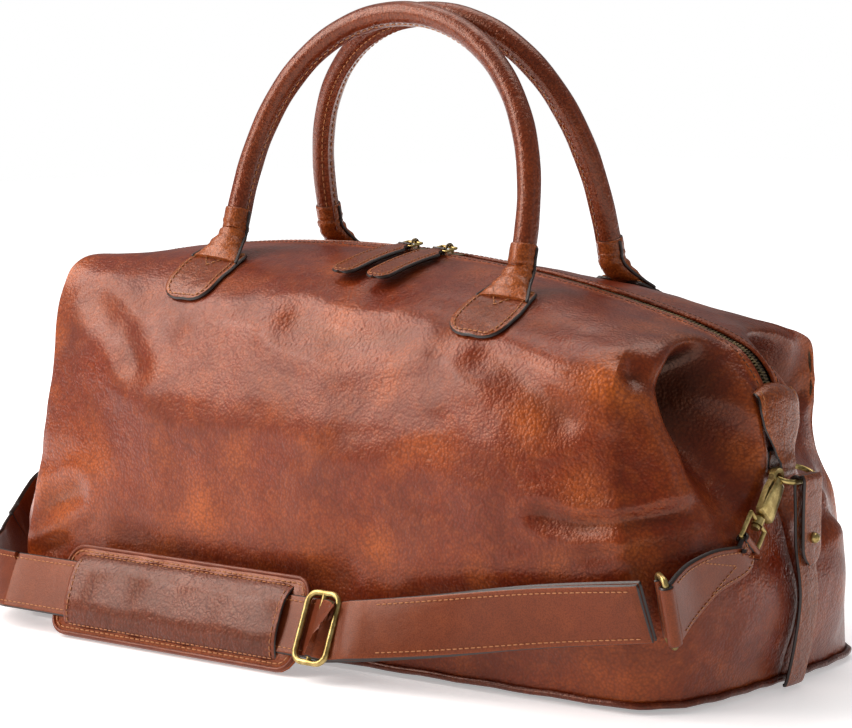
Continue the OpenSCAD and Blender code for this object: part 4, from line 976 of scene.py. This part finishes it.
def patch(side, hand):
    word = ("front" if side < 0 else "back") + "_" + ("left" if hand < 0 else "right")
    x0 = hand * NECK_X
    shares = np.concatenate([[0.004, 0.02, 0.05, 0.1, 0.17], np.linspace(0.24, 1, 14)])
    acrosses = np.array([-1, -0.94, -0.8, -0.5, -0.2, 0.2, 0.5, 0.8, 0.94, 1])
    grid = np.zeros((len(acrosses), len(shares), 3))
    out = np.zeros_like(grid)
    for j, a in enumerate(acrosses):
        for k, s in enumerate(shares):
            spot, way = on_face(side, x0 + a * patch_half(s), PATCH_LOW + (PATCH_HIGH - PATCH_LOW) * s)
            grid[j, k], out[j, k] = spot + way * (3.1 + 0.5 * (1 - a * a)), way
    if side > 0:
        grid, out = grid[::-1], out[::-1]
    edge = np.abs(acrosses)[:, None] ** 8 * np.ones(len(shares))
    tags = {"rubbed": np.clip(0.15 + 0.5 * edge + 0.25 * (shares[None, :] > 0.8), 0, 1)}
    made = slab("handle_patch_" + word, grid, 3.0, [trim_leather, edge_paint], "bag",
                fields=tags, normals=out, sharp=60)
    # a seam round the edge, and the V of the reinforcing seam
    inset = 3.4
    arcs = np.concatenate([np.linspace(1.0, 0.3, 16), np.linspace(0.28, 0.05, 12)])
    right_half = [(s, max(patch_half(s) - inset, 0)) for s in arcs if patch_half(s) > inset]
    loop = right_half + [(s, -h) for s, h in right_half[::-1]]
    lines = []
    for outline_points in (loop, [(0.97, 17), (0.6, 0.0), (0.97, -17)],
                           [(0.99, 17), (0.94, 5), (0.94, -5), (0.99, -17)]):
        path, ways = [], []
        for s, h in resample([(q[0] * 60, q[1], 0) for q in outline_points], step=2.0)[:, :2]:
            spot, way = on_face(side, x0 + h, PATCH_LOW + (PATCH_HIGH - PATCH_LOW) * s / 60)
            path.append(spot + way * (3.35 + 0.5 * (1 - (h / 21.5) ** 2)))
            ways.append(way)
        lines.append((np.array(path), np.array(ways)))
    stitch_rows("patch_stitches_" + word, lines, tan_thread, "bag", length=2.9, gap=1.2, width=0.9)
    # the neck: rings from the patch's flat top to round the handle's end
    base_spot, base_way = on_face(side, x0, PATCH_HIGH - 0.28)
    path = arch(side)
    if hand > 0:
        path = path[::-1]
    start = base_spot + base_way * 3.4
    top = path[int(20 / 3.0)]
    toe = unit(np.cross(base_way, np.array([1.0, 0, 0]))) * (1 if side > 0 else -1)
    toe = toe * np.sign(toe[2] + 1e-9)
    mid_line = curve([start - toe * 2, start + toe * 8 + base_way * 2.5,
                      path[1] + (path[0] - path[3]) * 0.3, path[3], top], 6)
    ring_count, sides = len(mid_line), 30
    along, beside, outdir = path_frames(mid_line, base_way * 1.0 + np.zeros((ring_count, 3)))
    points, faces = [], []
    for k in range(ring_count):
        t = k / (ring_count - 1)
        wide, thick = neck_size(NECK_WIDE, t), neck_size(NECK_THICK, t)
        wave = (0.55 * math.sin(k * 1.9 + hand) * math.sin(math.pi * min(1, t * 1.15))
                + (-0.5 if t > 0.97 else 0))
        for i in range(sides):
            w = 2 * math.pi * i / sides
            dent = wave * (1 + 0.6 * math.sin(3 * w + k * 0.7))
            points.append(mid_line[k] + beside[k] * math.cos(w) * (wide + dent)
                          + outdir[k] * math.sin(w) * (thick + dent))
    for k in range(ring_count - 1):
        for i in range(sides):
            a, b = k * sides + i, k * sides + (i + 1) % sides
            faces.append((b, a, a + sides, b + sides))
    # the top ends in a turned edge that closes onto the handle
    last = (ring_count - 1) * sides
    lip = len(points)
    for i in range(sides):
        points.append(mid_line[-1] * 0.14 + np.array(points[last + i]) * 0.86)
    for i in range(sides):
        a, b = last + i, last + (i + 1) % sides
        faces.append((b, a, lip + i, lip + (i + 1) % sides))
    faces.append(tuple(lip + i for i in range(sides)))
    faces.append(tuple(range(sides))[::-1])
    marks = [0] * ((ring_count - 1) * sides) + [1] * sides + [1, 0]
    rub = np.concatenate([np.full(sides, 0.75 - 0.35 * k / ring_count)
                          for k in range(ring_count)] + [np.zeros(sides)])
    made_neck = finish_mesh("handle_neck_" + word, points, faces, [trim_leather, edge_paint], None,
                            indices=marks, fields={"rubbed": rub}, sharp=60)
    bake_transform(made_neck)
    # the black edges of the wrapped leather, up both sides of the neck
    for sign in (-1, 1):
        edge_line = np.array([mid_line[k]
                              + beside[k] * sign * (neck_size(NECK_WIDE, k / (ring_count - 1)) + 0.2)
                              for k in range(ring_count - 2)])
        made_edge = tube("neck_edge_" + word + ("_a" if sign < 0 else "_b"), edge_line, 1.25, [edge_paint],
                         None, sides=8, hint=(0.1, side * 0.4, 1))
        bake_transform(made_edge)
    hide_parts("patch_" + word)


for side in (-1, 1):
    for hand in (-1, 1):
        patch(side, hand)
print("patches made")

# %% [markdown]
# The ends. A tab of leather covers each end of the zip and folds round the ring's inner wire.
# From the base a strap comes up the end, goes through the ring and over its outer wire, and a
# flap hangs from the wire and buttons onto a stud. All are strips with black edges, bent along a
# path seen from the side, so one function bends them: it takes the path and a width at each point.

# %% Bent strips
RING_X, RING_Z = [(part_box("ring_right")[0][k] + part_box("ring_right")[1][k]) / 2 / MM for k in (0, 2)]
TILT, RING_R, WIRE = math.radians(20), 9.0, 1.75
INNER = (RING_X - RING_R * math.cos(TILT), RING_Z + RING_R * math.sin(TILT))
OUTER = (RING_X + RING_R * math.cos(TILT), RING_Z - RING_R * math.sin(TILT))
STUD_Z = (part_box("stud_right")[0][2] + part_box("stud_right")[1][2]) / 2 / MM
print("ring at", round(RING_X, 1), round(RING_Z, 1), "stud at", round(STUD_Z, 1))
ACROSS = np.array([-1, -0.93, -0.7, -0.35, 0, 0.35, 0.7, 0.93, 1.0])


def bent_strip(name, run, half, thickness, body, mirror, crown=0.25, lean=None, rub=0.2, materials=None,
               sway=None):
    """run is the outer face as (x, z) from the top down, half the half widths; mirror is -1 at the left."""
    grid = np.zeros((len(run), len(ACROSS), 3))
    turn = unit(np.gradient(np.asarray(run, float), axis=0))
    for k, ((x, z), h) in enumerate(zip(run, half)):
        for i, a in enumerate(ACROSS):
            bow = crown * (1 - a * a) - (lean[k] if lean is not None else 0) * a * a
            y = a * h + (sway[k] if sway is not None else 0)
            grid[k, i] = (x + bow * -turn[k][1], y, z + bow * turn[k][0])
    if mirror < 0:
        grid[..., 0] *= -1
        grid = grid[:, ::-1]
    grid = grid[:, ::-1]
    tags = {"rubbed": rub + 0.45 * np.abs(ACROSS)[None, :] ** 8 * np.ones((len(run), 1))}
    return slab(name, grid, thickness, materials or [trim_leather, edge_paint], body,
                fields=tags, sharp=60)


def strip_seam(name, run, half, inset, body, mirror, crown=0.25, start=0, stop=None, extra=()):
    """Two rows of stitches along a bent strip, and the extra lines of stitches it is given."""
    run = np.asarray(run, float)
    turn = unit(np.gradient(run, axis=0))
    rows = []
    for sign in (-1, 1):
        path, out = [], []
        for (x, z), h, t in list(zip(run, half, turn))[start:stop]:
            if h > inset:
                a = (h - inset) / h
                bow = crown * (1 - a * a)
                path.append((mirror * (x + bow * -t[1]), sign * (h - inset), z + bow * t[0]))
                out.append((mirror * -t[1], 0, t[0]))
        rows.append((np.array(path), np.array(out)))
    rows += [(np.array([(mirror * x, y, z) for x, y, z in line]), np.array([mirror, 0, 0.0]))
             for line in extra]
    stitch_rows(name, rows, tan_thread, body, length=2.8, gap=1.2, width=0.75)


def turn_round(centre, radius, start, stop, count):
    angles = np.radians(np.linspace(start, stop, count))
    return [(centre[0] + radius * math.cos(a), centre[1] + radius * math.sin(a)) for a in angles]


# %% Zip end tabs
for mirror, hand in ((1, "right"), (-1, "left")):
    loop = WIRE + 0.3 + 2.0
    face_x = INNER[0] - loop + 2.0
    tab_run = curve([(face_x - 8.5, RING_Z + 55), (face_x - 3.5, RING_Z + 54), (face_x + 0.6, RING_Z + 49),
                     (face_x + 2.0, RING_Z + 38), (face_x + 3.2, RING_Z + 24), (face_x + 4.2, RING_Z + 13),
                     (INNER[0] + loop, INNER[1] + 4)], 5).tolist()
    tab_run += turn_round(INNER, loop, 0, -180, 12)[1:] + [(INNER[0] - loop, INNER[1] + 5),
                                                           (INNER[0] - loop, INNER[1] + 11)]
    tab_run = np.array(tab_run)
    drop = np.cumsum(np.concatenate([[0], np.linalg.norm(np.diff(tab_run, axis=0), axis=1)]))
    tab_half = np.interp(drop, [0, 2, 9, 18, 30, 44, 56, 62], [16, 19, 21.5, 22.5, 20.5, 11.5, 7.8, 7.5])
    made = bent_strip("zip_end_tab_leather_" + hand, tab_run, tab_half, 2.0, "bag", mirror, crown=0.2,
                      lean=np.interp(drop, [0, 10, 40, 60], [5.0, 3.0, 1.0, 0]), rub=0.3)
    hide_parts("zip_end_tab_" + hand)
    strip_seam("zip_end_tab_stitches_" + hand, tab_run, tab_half, 2.6, "bag", mirror, crown=-1.6, start=5,
               stop=29)

    # the end strap, from under the welt up the end and over the ring's outer wire
    over = WIRE + 0.3 + 2.5
    strap_run = turn_round(OUTER, over, 60, 180, 12)
    strap_run += curve([(OUTER[0] - over, OUTER[1] - 2), (OUTER[0] - over + 0.6, OUTER[1] - 18),
                        (OUTER[0] - over + 1.4, 92), (307.4, 62), (304.4, 34), (298.9, 8), (296.6, 3.4)],
                        6).tolist()
    # below the ring the strap's outer face is the one away from the bag
    down = np.array(strap_run[12:]) + (2.5, 0)
    made = bent_strip("end_strap_leather_" + hand, down, np.full(len(down), 10.0), 2.5, "bag", mirror)
    arch_run = np.array(turn_round(OUTER, over, 60, 186, 14))
    bent_strip("end_strap_turn_" + hand, arch_run, np.full(len(arch_run), 10.0), 2.5, "bag", mirror,
               crown=0.1)
    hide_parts("end_strap_" + hand)
    strip_seam("end_strap_stitches_" + hand, down, np.full(len(down), 10.0), 2.4, "bag", mirror, start=3,
               stop=-2)

    # the flap, hanging from the wire and buttoned on the stud
    flap_top = turn_round(OUTER, over + 0.15, 42, 0, 6)
    length = 52.0
    falls = np.concatenate([np.linspace(4, length - 11, 12),
                            length - 10 + 10 * np.sin(np.linspace(0.15, 1.52, 8))])
    flap_run = np.array(flap_top + [(OUTER[0] + over + 0.15 - 0.4 * math.sin(f / 16.0), OUTER[1] - f)
                                    for f in falls])
    flap_half = np.concatenate([np.full(18, 10.0), 10.0 * np.cos(np.linspace(0.15, 1.52, 8))])
    made = bent_strip("end_flap_leather_" + hand, flap_run, flap_half, 2.5, "end_flap_" + hand, mirror,
                      crown=0.35)
    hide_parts("end_flap_" + hand)
    tip = OUTER[1] - length
    strip_seam("end_flap_stitches_" + hand, flap_run, flap_half, 2.4, "end_flap_" + hand, mirror, start=7,
               stop=-1, extra=[[(OUTER[0] + over + 0.5, y, z)
                       for y, z in ((-6, tip + 21), (0, tip + 13), (6, tip + 21))]])

# %% [markdown]
# The snap hook is a plate hook: a flat cover plate, wider towards the strap, hides the spring and
# the trigger's shaft. It is a thin plate with bevelled edges and a turned-in lower lip.

# %% Hook plates
HOOK_TURN, HOOK_Y = math.radians(229), -20.0


def hook_point(u, v, w, mirror):
    """A point of the hook's own frame: u to the swivel eye, v across it, w outward."""
    y = HOOK_Y + u * math.cos(HOOK_TURN) - v * math.sin(HOOK_TURN)
    z = RING_Z + u * math.sin(HOOK_TURN) + v * math.cos(HOOK_TURN)
    return (mirror * (RING_X + w), y, z)


for mirror, hand in ((1, "right"), (-1, "left")):
    us = np.array([3.6, 4.2, 10, 18, 26, 27.4, 28.2, 28.2])
    halves = np.array([4.3, 4.7, 5.5, 6.6, 7.6, 7.7, 7.6, 7.4])
    lifts = np.array([3.6, 4.0, 4.1, 4.1, 4.1, 3.7, 2.6, 1.0])
    grid = np.array([[hook_point(u, a * h, w - 0.4 * (abs(a) > 0.95), mirror)
                      for a in (-1, -0.9, -0.4, 0, 0.4, 0.9, 1)]
                     for u, h, w in zip(us, halves, lifts)])
    if mirror > 0:
        grid = grid[:, ::-1]
    made = slab("hook_cover_plate_" + hand, grid, 1.4, [antique_brass], "hook_" + hand,
                rim=0.3, sharp=35)
print("ends made")

# %% [markdown]
# The shoulder strap lies round the foot of the bag, standing on its edge. It is hide, sewn along
# both edges. The strip is swept along the measured model's stations, with its width held nearly
# upright. Round the bag's left corner it is drawn in up to 12 mm closer than the measured strap.

# %% Strap run
RUN_A, RUN_B = np.array([60.0, -164, 32]), np.array([-245.0, -160, 32])
UPRIGHT = (0, 0.0, 1)
STATIONS = [((283, -142, 69), (0, -0.3, 1), 38), ((210, -146, 58), (0, -0.1, 1), 38),
            ((130, -154, 43), (0, 0.2, 1), 38),
            (RUN_A, (0, 0.42, 1), 38)]
STATIONS += [(RUN_A + (RUN_B - RUN_A) * t, (0, 0.42, 1), 38) for t in (0.07, 0.5, 0.93)]
STATIONS += [(RUN_B, (0, 0.42, 1), 38), ((-274, -149, 31), (0, 0.2, 1), 38),
             ((-296, -127, 32), UPRIGHT, 38),
             ((-307, -101, 39), UPRIGHT, 38), ((-310, -78, 58), (0, -0.5, 1), 34)]
run = curve([list(p) + list(unit(np.array(w, float))) + [size] for p, w, size in STATIONS], 8)
RUN_P, RUN_W, RUN_SIZE = run[:, :3], unit(run[:, 3:6]), run[:, 6]


def run_out(points, widths):
    """Out of the strap: square to its run and its width."""
    along = unit(np.gradient(points, axis=0))
    flat = unit(widths - along * (widths * along).sum(1, keepdims=True))
    return along, flat, unit(np.cross(flat, along))


def ribbon(name, points, widths, sizes, thickness, body, offset=0.0, crown=0.35, flip=1,
           rub=0.15, materials=None, wave=0.0, rim=0.35):
    """A flat strip on a run of points, its outer face at offset from the run, crowned a little."""
    along, flat, out = run_out(points, widths)
    out = out * flip
    spread = np.array([-1, -0.96, -0.86, -0.6, -0.25, 0.25, 0.6, 0.86, 0.96, 1])
    drift = wave * np.sin(np.arange(len(points)) * 0.35) * np.sin(np.arange(len(points)) * 0.11)
    rise = np.broadcast_to(np.asarray(offset, float), (len(points),)) + drift
    grid = (points[:, None] + flat[:, None] * (spread[None, :, None] * np.asarray(sizes)[:, None, None] / 2)
            + out[:, None] * (rise[:, None, None] + crown * (1 - spread ** 4)[None, :, None]))
    if np.cross(grid[1, 0] - grid[0, 0], grid[0, -1] - grid[0, 0]) @ out[0] < 0:
        grid = grid[:, ::-1]
    tags = {"rubbed": rub + 0.35 * np.abs(spread)[None, :] ** 10 * np.ones((len(points), 1))}
    made = slab(name, grid, thickness, materials or [strap_leather, edge_paint], body, fields=tags,
                sharp=60, rim=rim)
    return made, flat, out


def ribbon_seams(name, points, flat, out, sizes, inset, lift, body, start=0, stop=None, extra=(),
                 thread=None, length=3.0):
    rows = [((points + flat * sign * (np.asarray(sizes)[:, None] / 2 - inset) + out * lift)[start:stop],
             out[start:stop])
            for sign in (-1, 1)]
    stitch_rows(name, rows + list(extra), thread or tan_thread, body, length=length, gap=1.3, width=0.8)


BODY = "shoulder_strap"
BUCKLE_DIR = unit(RUN_B - RUN_A)
made, flat, out = ribbon("shoulder_strap_leather", RUN_P, RUN_W, RUN_SIZE, 3.0, BODY,
                         offset=np.where(RUN_P[:, 0] > RUN_A[0] - 40, 1.3, 1.5), wave=0.12)
FACING = 1 if out[20][1] < 0 else -1
print("strap faces out:", FACING, "length",
      round(float(np.linalg.norm(np.diff(RUN_P, axis=0), axis=1).sum())), "mm")
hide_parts("long_strap")
ribbon_seams("strap_stitches", RUN_P, flat, out, RUN_SIZE, 3.2, 1.75, BODY, start=1, stop=-1)

# the returned layer in front of it, from the rectangular ring to the buckle
back_run = RUN_P[:33]
climb = np.full(33, 5.4)
climb[0], climb[1] = 4.6, 5.2
# it dips behind the buckle's near bar and bulges over the middle one
climb[20:] = [5.4, 5.6, 6.2, 5.0, 3.0, 2.7, 4.8, 7.2, 8.5, 8.8, 8.2, 6.2, 3.2]
layer, flat2, out2 = ribbon("strap_return_leather", back_run, RUN_W[:33], RUN_SIZE[:33] - 0.6, 2.6, BODY,
                            offset=climb, crown=0.5, wave=0.15, rub=0.2)
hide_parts("strap_return")
ribbon_seams("strap_return_stitches", back_run, flat2, out2, RUN_SIZE[:33] - 0.6, 3.2, 5.85, BODY, start=1,
             stop=-12)

# %% [markdown]
# The rectangular ring and the slider buckle are bent from brass wire with rounded corners. A fold
# of leather goes round each long bar of the ring; the strap stops a few millimetres short of its own.

# %% Wire frames
def rounded_frame(name, centre, side_way, up_way, long, high, corner, wire, body, node, bars=()):
    """A closed wire frame in the plane of side_way and up_way, with bars across it at given places."""
    front = np.cross(side_way, up_way)
    path = []
    for cx, cy, start in ((1, 1, 0), (-1, 1, 90), (-1, -1, 180), (1, -1, 270)):
        for a in np.radians(np.linspace(start, start + 90, 8)):
            path.append(centre + side_way * (cx * (long / 2 - corner) + corner * math.cos(a))
                        + up_way * (cy * (high / 2 - corner) + corner * math.sin(a)))
    path = resample(np.vstack([path, path[:1]]), step=1.6)[:-1]
    made = tube(name, path, wire / 2, [antique_brass], body, sides=16, closed=True,
                hint=front)
    for k, place in enumerate(bars):
        line = resample([centre + side_way * place + up_way * t
                         for t in (-high / 2 + wire * 0.3, high / 2 - wire * 0.3)], step=3)
        tube(name + "_bar_" + str(k), line, wire * 0.44, [antique_brass], body, sides=14,
             hint=front)
    if node:
        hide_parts(node)
    return made


rect_box = np.array(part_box("rect_ring")) / MM
RECT_AT = rect_box.mean(0)
rect_up = unit(np.array([0, -0.3, 1.0]))
rect_side = np.array([math.cos(math.radians(-40)), math.sin(math.radians(-40)), 0]) * -1
rect_side = unit(rect_side - rect_up * (rect_side @ rect_up))
rounded_frame("rect_ring_wire", RECT_AT, rect_side, rect_up, 15, 45, 4.5, 4.0, BODY, "rect_ring")
buckle_mid = RUN_A + BUCKLE_DIR * 14
buckle_up = unit(np.array([0, 0.42, 1.0]))
buckle_up = unit(buckle_up - BUCKLE_DIR * (buckle_up @ BUCKLE_DIR))
buckle_out = np.cross(buckle_up, BUCKLE_DIR)
buckle_out = buckle_out * (-1 if buckle_out[1] > 0 else 1)
rounded_frame("slider_buckle_wire", buckle_mid + buckle_out * 4.5, BUCKLE_DIR, buckle_up, 26, 46, 7, 4.2,
              BODY, "strap_buckle", bars=(0.0,))

# %% Folds round the ring's two bars
def fold_round(name, bar, up, away, radius, width, thickness, body, arc=210, rub=0.5):
    """Leather folded round an upright bar; away points from the bar to where its two layers go."""
    front = np.cross(up, away)
    front = front * (-1 if front[1] > 0 else 1)
    angles = np.radians(np.linspace(-arc / 2, arc / 2, 17))
    spread = np.array([-1, -0.93, -0.5, 0, 0.5, 0.93, 1]) * width / 2
    grid = np.array([[bar + up * s + (away * -math.cos(a) + front * math.sin(a)) * radius for s in spread]
                     for a in angles])
    if np.cross(grid[9, 3] - grid[8, 3], grid[8, 4] - grid[8, 3]) @ (grid[8, 3] - bar) < 0:
        grid = grid[:, ::-1]
    return slab(name, grid, thickness, [strap_leather, edge_paint], body, sharp=60,
                fields={"rubbed": rub * np.ones(grid.shape[:2])})


toward_strap = unit(RUN_P[2] - RECT_AT)
near_sign = 1 if rect_side @ toward_strap > 0 else -1
STRAP_BAR = RECT_AT + rect_side * near_sign * 7.5
CHAPE_BAR = RECT_AT - rect_side * near_sign * 7.5
fold_round("strap_fold", STRAP_BAR, rect_up, toward_strap, 4.6, 37.4, 2.4, BODY)

# %% [markdown]
# The short leathers join the strap to the hooks. Each is folded round the bar of its swivel eye,
# widens to the strap's width, and is sewn down with a border and a V.

# %% Hook leathers
EYE_BOX = np.array(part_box("swivel_eye_right")) / MM
EYE_AT = np.array([RING_X, HOOK_Y + 51 * math.cos(HOOK_TURN), RING_Z + 51 * math.sin(HOOK_TURN)])
hook_dir = np.array([0, math.cos(HOOK_TURN), math.sin(HOOK_TURN)])
eye_lean = np.array([0, -0.755, 0.656])
print("eye at", EYE_AT.round(1), "box", EYE_BOX.round(1).tolist())
RECT_TARGET = RECT_AT + np.array([0, 3.6, 1.4])
STEPS = [(EYE_AT + hook_dir * -1.0, eye_lean, 17.4), (EYE_AT + hook_dir * 5, eye_lean, 17.4),
         (EYE_AT + hook_dir * 12, eye_lean, 19.5),
         (EYE_AT * 0.55 + RECT_TARGET * 0.45, (0, -0.45, 1), 27),
         (EYE_AT * 0.25 + RECT_TARGET * 0.75, (0, -0.3, 1), 35),
         (CHAPE_BAR + unit(EYE_AT - CHAPE_BAR) * 3, (0, -0.3, 1), 38)]
chape = curve([list(p) + list(unit(np.array(w, float))) + [s] for p, w, s in STEPS], 6)
chape_p, chape_w, chape_s = chape[:, :3], unit(chape[:, 3:6]), chape[:, 6]


def hook_leather(hand, points, widths, sizes, eye, mirror, thick=4.4):
    _, _, probe = run_out(points, widths)
    flip = 1 if probe[len(probe) // 3] @ np.array([mirror, -0.5, 0]) > 0 else -1
    piece, flat, out = ribbon("hook_leather_" + hand, points, widths, sizes, thick, BODY, offset=thick / 2,
                              crown=0.5, flip=flip, rub=0.22)
    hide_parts("chape_" + hand)
    lift = thick / 2 + 0.45
    face = points + out * lift
    tops = []
    for a, b in (((3, 0.7), (9, 0.0)), ((9, 0.0), (3, -0.7)), ((20, 0.75), (14, 0.0)),
                 ((14, 0.0), (20, -0.75))):
        if max(a[0], b[0]) < len(points):
            pa = face[a[0]] + flat[a[0]] * sizes[a[0]] / 2 * a[1]
            pb = face[b[0]] + flat[b[0]] * sizes[b[0]] / 2 * b[1]
            line = np.array([pa + (pb - pa) * t for t in np.linspace(0, 1, 9)])
            tops.append((line, out[(a[0] + b[0]) // 2]))
    ribbon_seams("hook_leather_stitches_" + hand, points, flat, out, sizes, 2.6, lift, BODY, start=1,
                 stop=-2, extra=tops, length=2.6)
    # the fold round the swivel eye's bar
    bar_dir = flat[0]
    fold_round("hook_fold_" + hand, eye, bar_dir, unit(points[5] - eye), 4.4, sizes[0], 2.3, BODY, arc=230)


hook_leather("right", chape_p, chape_w, chape_s, EYE_AT, 1)
fold_round("hook_leather_fold", CHAPE_BAR, rect_up, unit(chape_p[-6] - CHAPE_BAR), 4.6, 37.6, 2.4, BODY,
           rub=0.3)
LEFT_EYE = EYE_AT * np.array([-1, 1, 1])
left_hook = hook_dir * np.array([-1, 1, 1])
LEFT_AT = np.array([-311.0, -75, 61])
left_steps = [(LEFT_EYE + left_hook * -1.0, eye_lean, 17.4), (LEFT_EYE + left_hook * 5, eye_lean, 17.4),
              (LEFT_EYE + left_hook * 9 + np.array([-0.8, 0, 0]), eye_lean, 19.5),
              ((LEFT_EYE + LEFT_AT) / 2 + np.array([-2.4, 0, 0]), (0, -0.6, 1), 27),
              (LEFT_AT, (0, -0.5, 1), 34), ((-309.5, -87, 51), (0, -0.3, 1), 36)]
left = curve([list(p) + list(unit(np.array(w, float))) + [s] for p, w, s in left_steps], 6)
hook_leather("left", left[:, :3], unit(left[:, 3:6]), left[:, 6], LEFT_EYE, -1)

# %% [markdown]
# The shoulder pad is a long base of body leather over foam, with a raised sleeve down its middle
# that the strap slides through. The base is one crowned, closed form with a piped edge; its corners
# are round. The sleeve stands higher, and both of its ends are open, where the strap comes out.

# %% Shoulder pad
pad_x = BUCKLE_DIR
pad_y = buckle_up
pad_z = buckle_out
PAD_START = RUN_A + pad_x * 31


def pad_point(x, y, z):
    return PAD_START + pad_x * x + pad_y * y + pad_z * z


def pad_outline(inset, count=96):
    """Points round the pad's rounded rectangle, inset from its edge."""
    long, high, corner = 225.0 / 2 - inset, 32.5 - inset, max(14.0 - inset, 3.0)
    loop = []
    for cx, cy, start in ((1, 1, 0), (-1, 1, 90), (-1, -1, 180), (1, -1, 270)):
        for a in np.radians(np.linspace(start, start + 90, 9)):
            loop.append((112.5 + cx * (long - corner) + corner * math.cos(a),
                         0.6 + cy * (high - corner) + corner * math.sin(a)))
    loop = np.array(loop + loop[:1])
    return resample(np.c_[loop, np.zeros(len(loop))], count=count + 1)[:-1, :2]


RINGS = [(0.0, -4.6), (0.0, -3.6), (0.6, -2.4), (2.2, -1.6), (4.6, -1.3), (6.6, -0.9), (9.5, -0.3),
         (14, 0.2), (22, 0.5), (30, 0.6)]
UNDER = [(1.4, -6.6), (4.0, -8.4), (8.0, -9.2), (16, -9.5), (28, -9.5)]
top_rings = [(pad_outline(i), z) for i, z in RINGS]
low_rings = [(pad_outline(i), z) for i, z in UNDER]
loops = [r for r in low_rings[::-1]] + top_rings
pts, faces = [], []
size = 96
for loop, z in loops:
    for k, (x, y) in enumerate(loop):
        ripple = 0.35 * math.sin(x * 0.21) * math.sin(x * 0.047 + 1) if z > -2 else 0.0
        pts.append(pad_point(x, y, z + ripple))
for j in range(len(loops) - 1):
    for i in range(size):
        a, b = j * size + i, j * size + (i + 1) % size
        faces.append((a, b, b + size, a + size))
faces += [tuple(range(size))[::-1], tuple((len(loops) - 1) * size + i for i in range(size))]
ring_rub = [0.1] * len(UNDER) + [0.55, 0.8, 0.75, 0.5, 0.3, 0.25, 0.2, 0.1, 0.1, 0.1]
tags = np.repeat(ring_rub, size)
if np.cross(pad_x, pad_y) @ pad_z < 0:
    faces = [f[::-1] for f in faces]
pad_leather = leather("smooth_pad_leather", "#702A13", "#48160A", "#A4521F", grain=1.2, depth=0.12,
                      gloss=0.36, mottle=60, coat=0.2, wrinkle=0.15)
pad = finish_mesh("shoulder_pad_cushion", pts, faces, [pad_leather], "shoulder_pad",
                  fields={"rubbed": tags})
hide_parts("pad_base", "pad_foam")
rope = pad_outline(1.6, 200)
tube("pad_piping", [pad_point(x, y, -2.0) for x, y in rope], 1.5, [pad_leather], "shoulder_pad",
     sides=10, closed=True, hint=tuple(pad_z), fields=None)
line = pad_outline(5.2, 240)
line = np.vstack([line, line[:1]])
stitch_rows("pad_stitches", [(np.array([pad_point(x, y, -1.1) for x, y in line]), pad_z)], tan_thread,
            "shoulder_pad", length=3.6, gap=1.2, width=1.0)

# the sleeve: a long low arch, open at both ends
xs = np.concatenate([[15.0, 16.0], np.linspace(20, 205, 34), [209.0, 210.0]])
ys = np.linspace(-1, 1, 23)
sleeve = np.zeros((len(xs), len(ys), 3))
for j, x in enumerate(xs):
    ends = min((x - 15) / 9, (210 - x) / 9, 1.0)
    for i, t in enumerate(ys):
        y = t * (26.2 - 0.8 * (1 - ends))
        bump = max(0.0, 1 - abs(t) ** 3.2)
        height = -1.2 + bump * (7.0 + 0.45 * math.sin(x * 0.13) * math.sin(x * 0.029 + t * 2)
                                + 0.5 * (1 - ends))
        sleeve[j, i] = pad_point(x, y + 0.6, height)
if np.cross(sleeve[5, 11] - sleeve[4, 11], sleeve[4, 12] - sleeve[4, 11]) @ pad_z < 0:
    sleeve = sleeve[:, ::-1]
sleeve_leather = leather("pebbled_sleeve_leather", "#5C2212", "#341008", "#8A3E1E", grain=1.9, depth=0.4,
                         gloss=0.36, mottle=50, wrinkle=0.4)
ends = np.exp(-np.minimum(xs - 15, 210 - xs) / 3.0)[:, None] * np.ones(len(ys))
made = slab("pad_sleeve_leather", sleeve, 1.7, [sleeve_leather, edge_paint], "shoulder_pad",
            fields={"rubbed": 0.1 + 0.5 * ends}, sharp=60)
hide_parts("pad_sleeve")
side_lines = []
for sign in (-1, 1):
    side_lines.append((np.array([pad_point(x, 0.6 + sign * 24.6,
                                           -1.2 + (1 - (24.6 / 26.2) ** 3.2) * 7.0 + 0.2)
                                           for x in np.linspace(17, 208, 120)]),
                       unit(pad_z + pad_y * sign * 0.8)))
for x in (18.5, 206.5):
    side_lines.append((np.array([pad_point(x, 0.6 + t * 24,
                                           -1.2 + max(0.0, 1 - abs(t * 24 / 26.2) ** 3.2) * 7.2 + 0.1)
                                 for t in np.linspace(-1, 1, 30)]), pad_z))
stitch_rows("sleeve_stitches", side_lines, tan_thread, "shoulder_pad", length=3.0, gap=1.3, width=0.8)

# %% Pieces that stay as measured, with their materials
for node, material in (("base_board", trim_leather), ("lining_floor", lining_cloth)):
    if node in NODES:
        shown = NODES[node]
        shown.data.materials.clear()
        shown.data.materials.append(material)
print("strap and pad made")
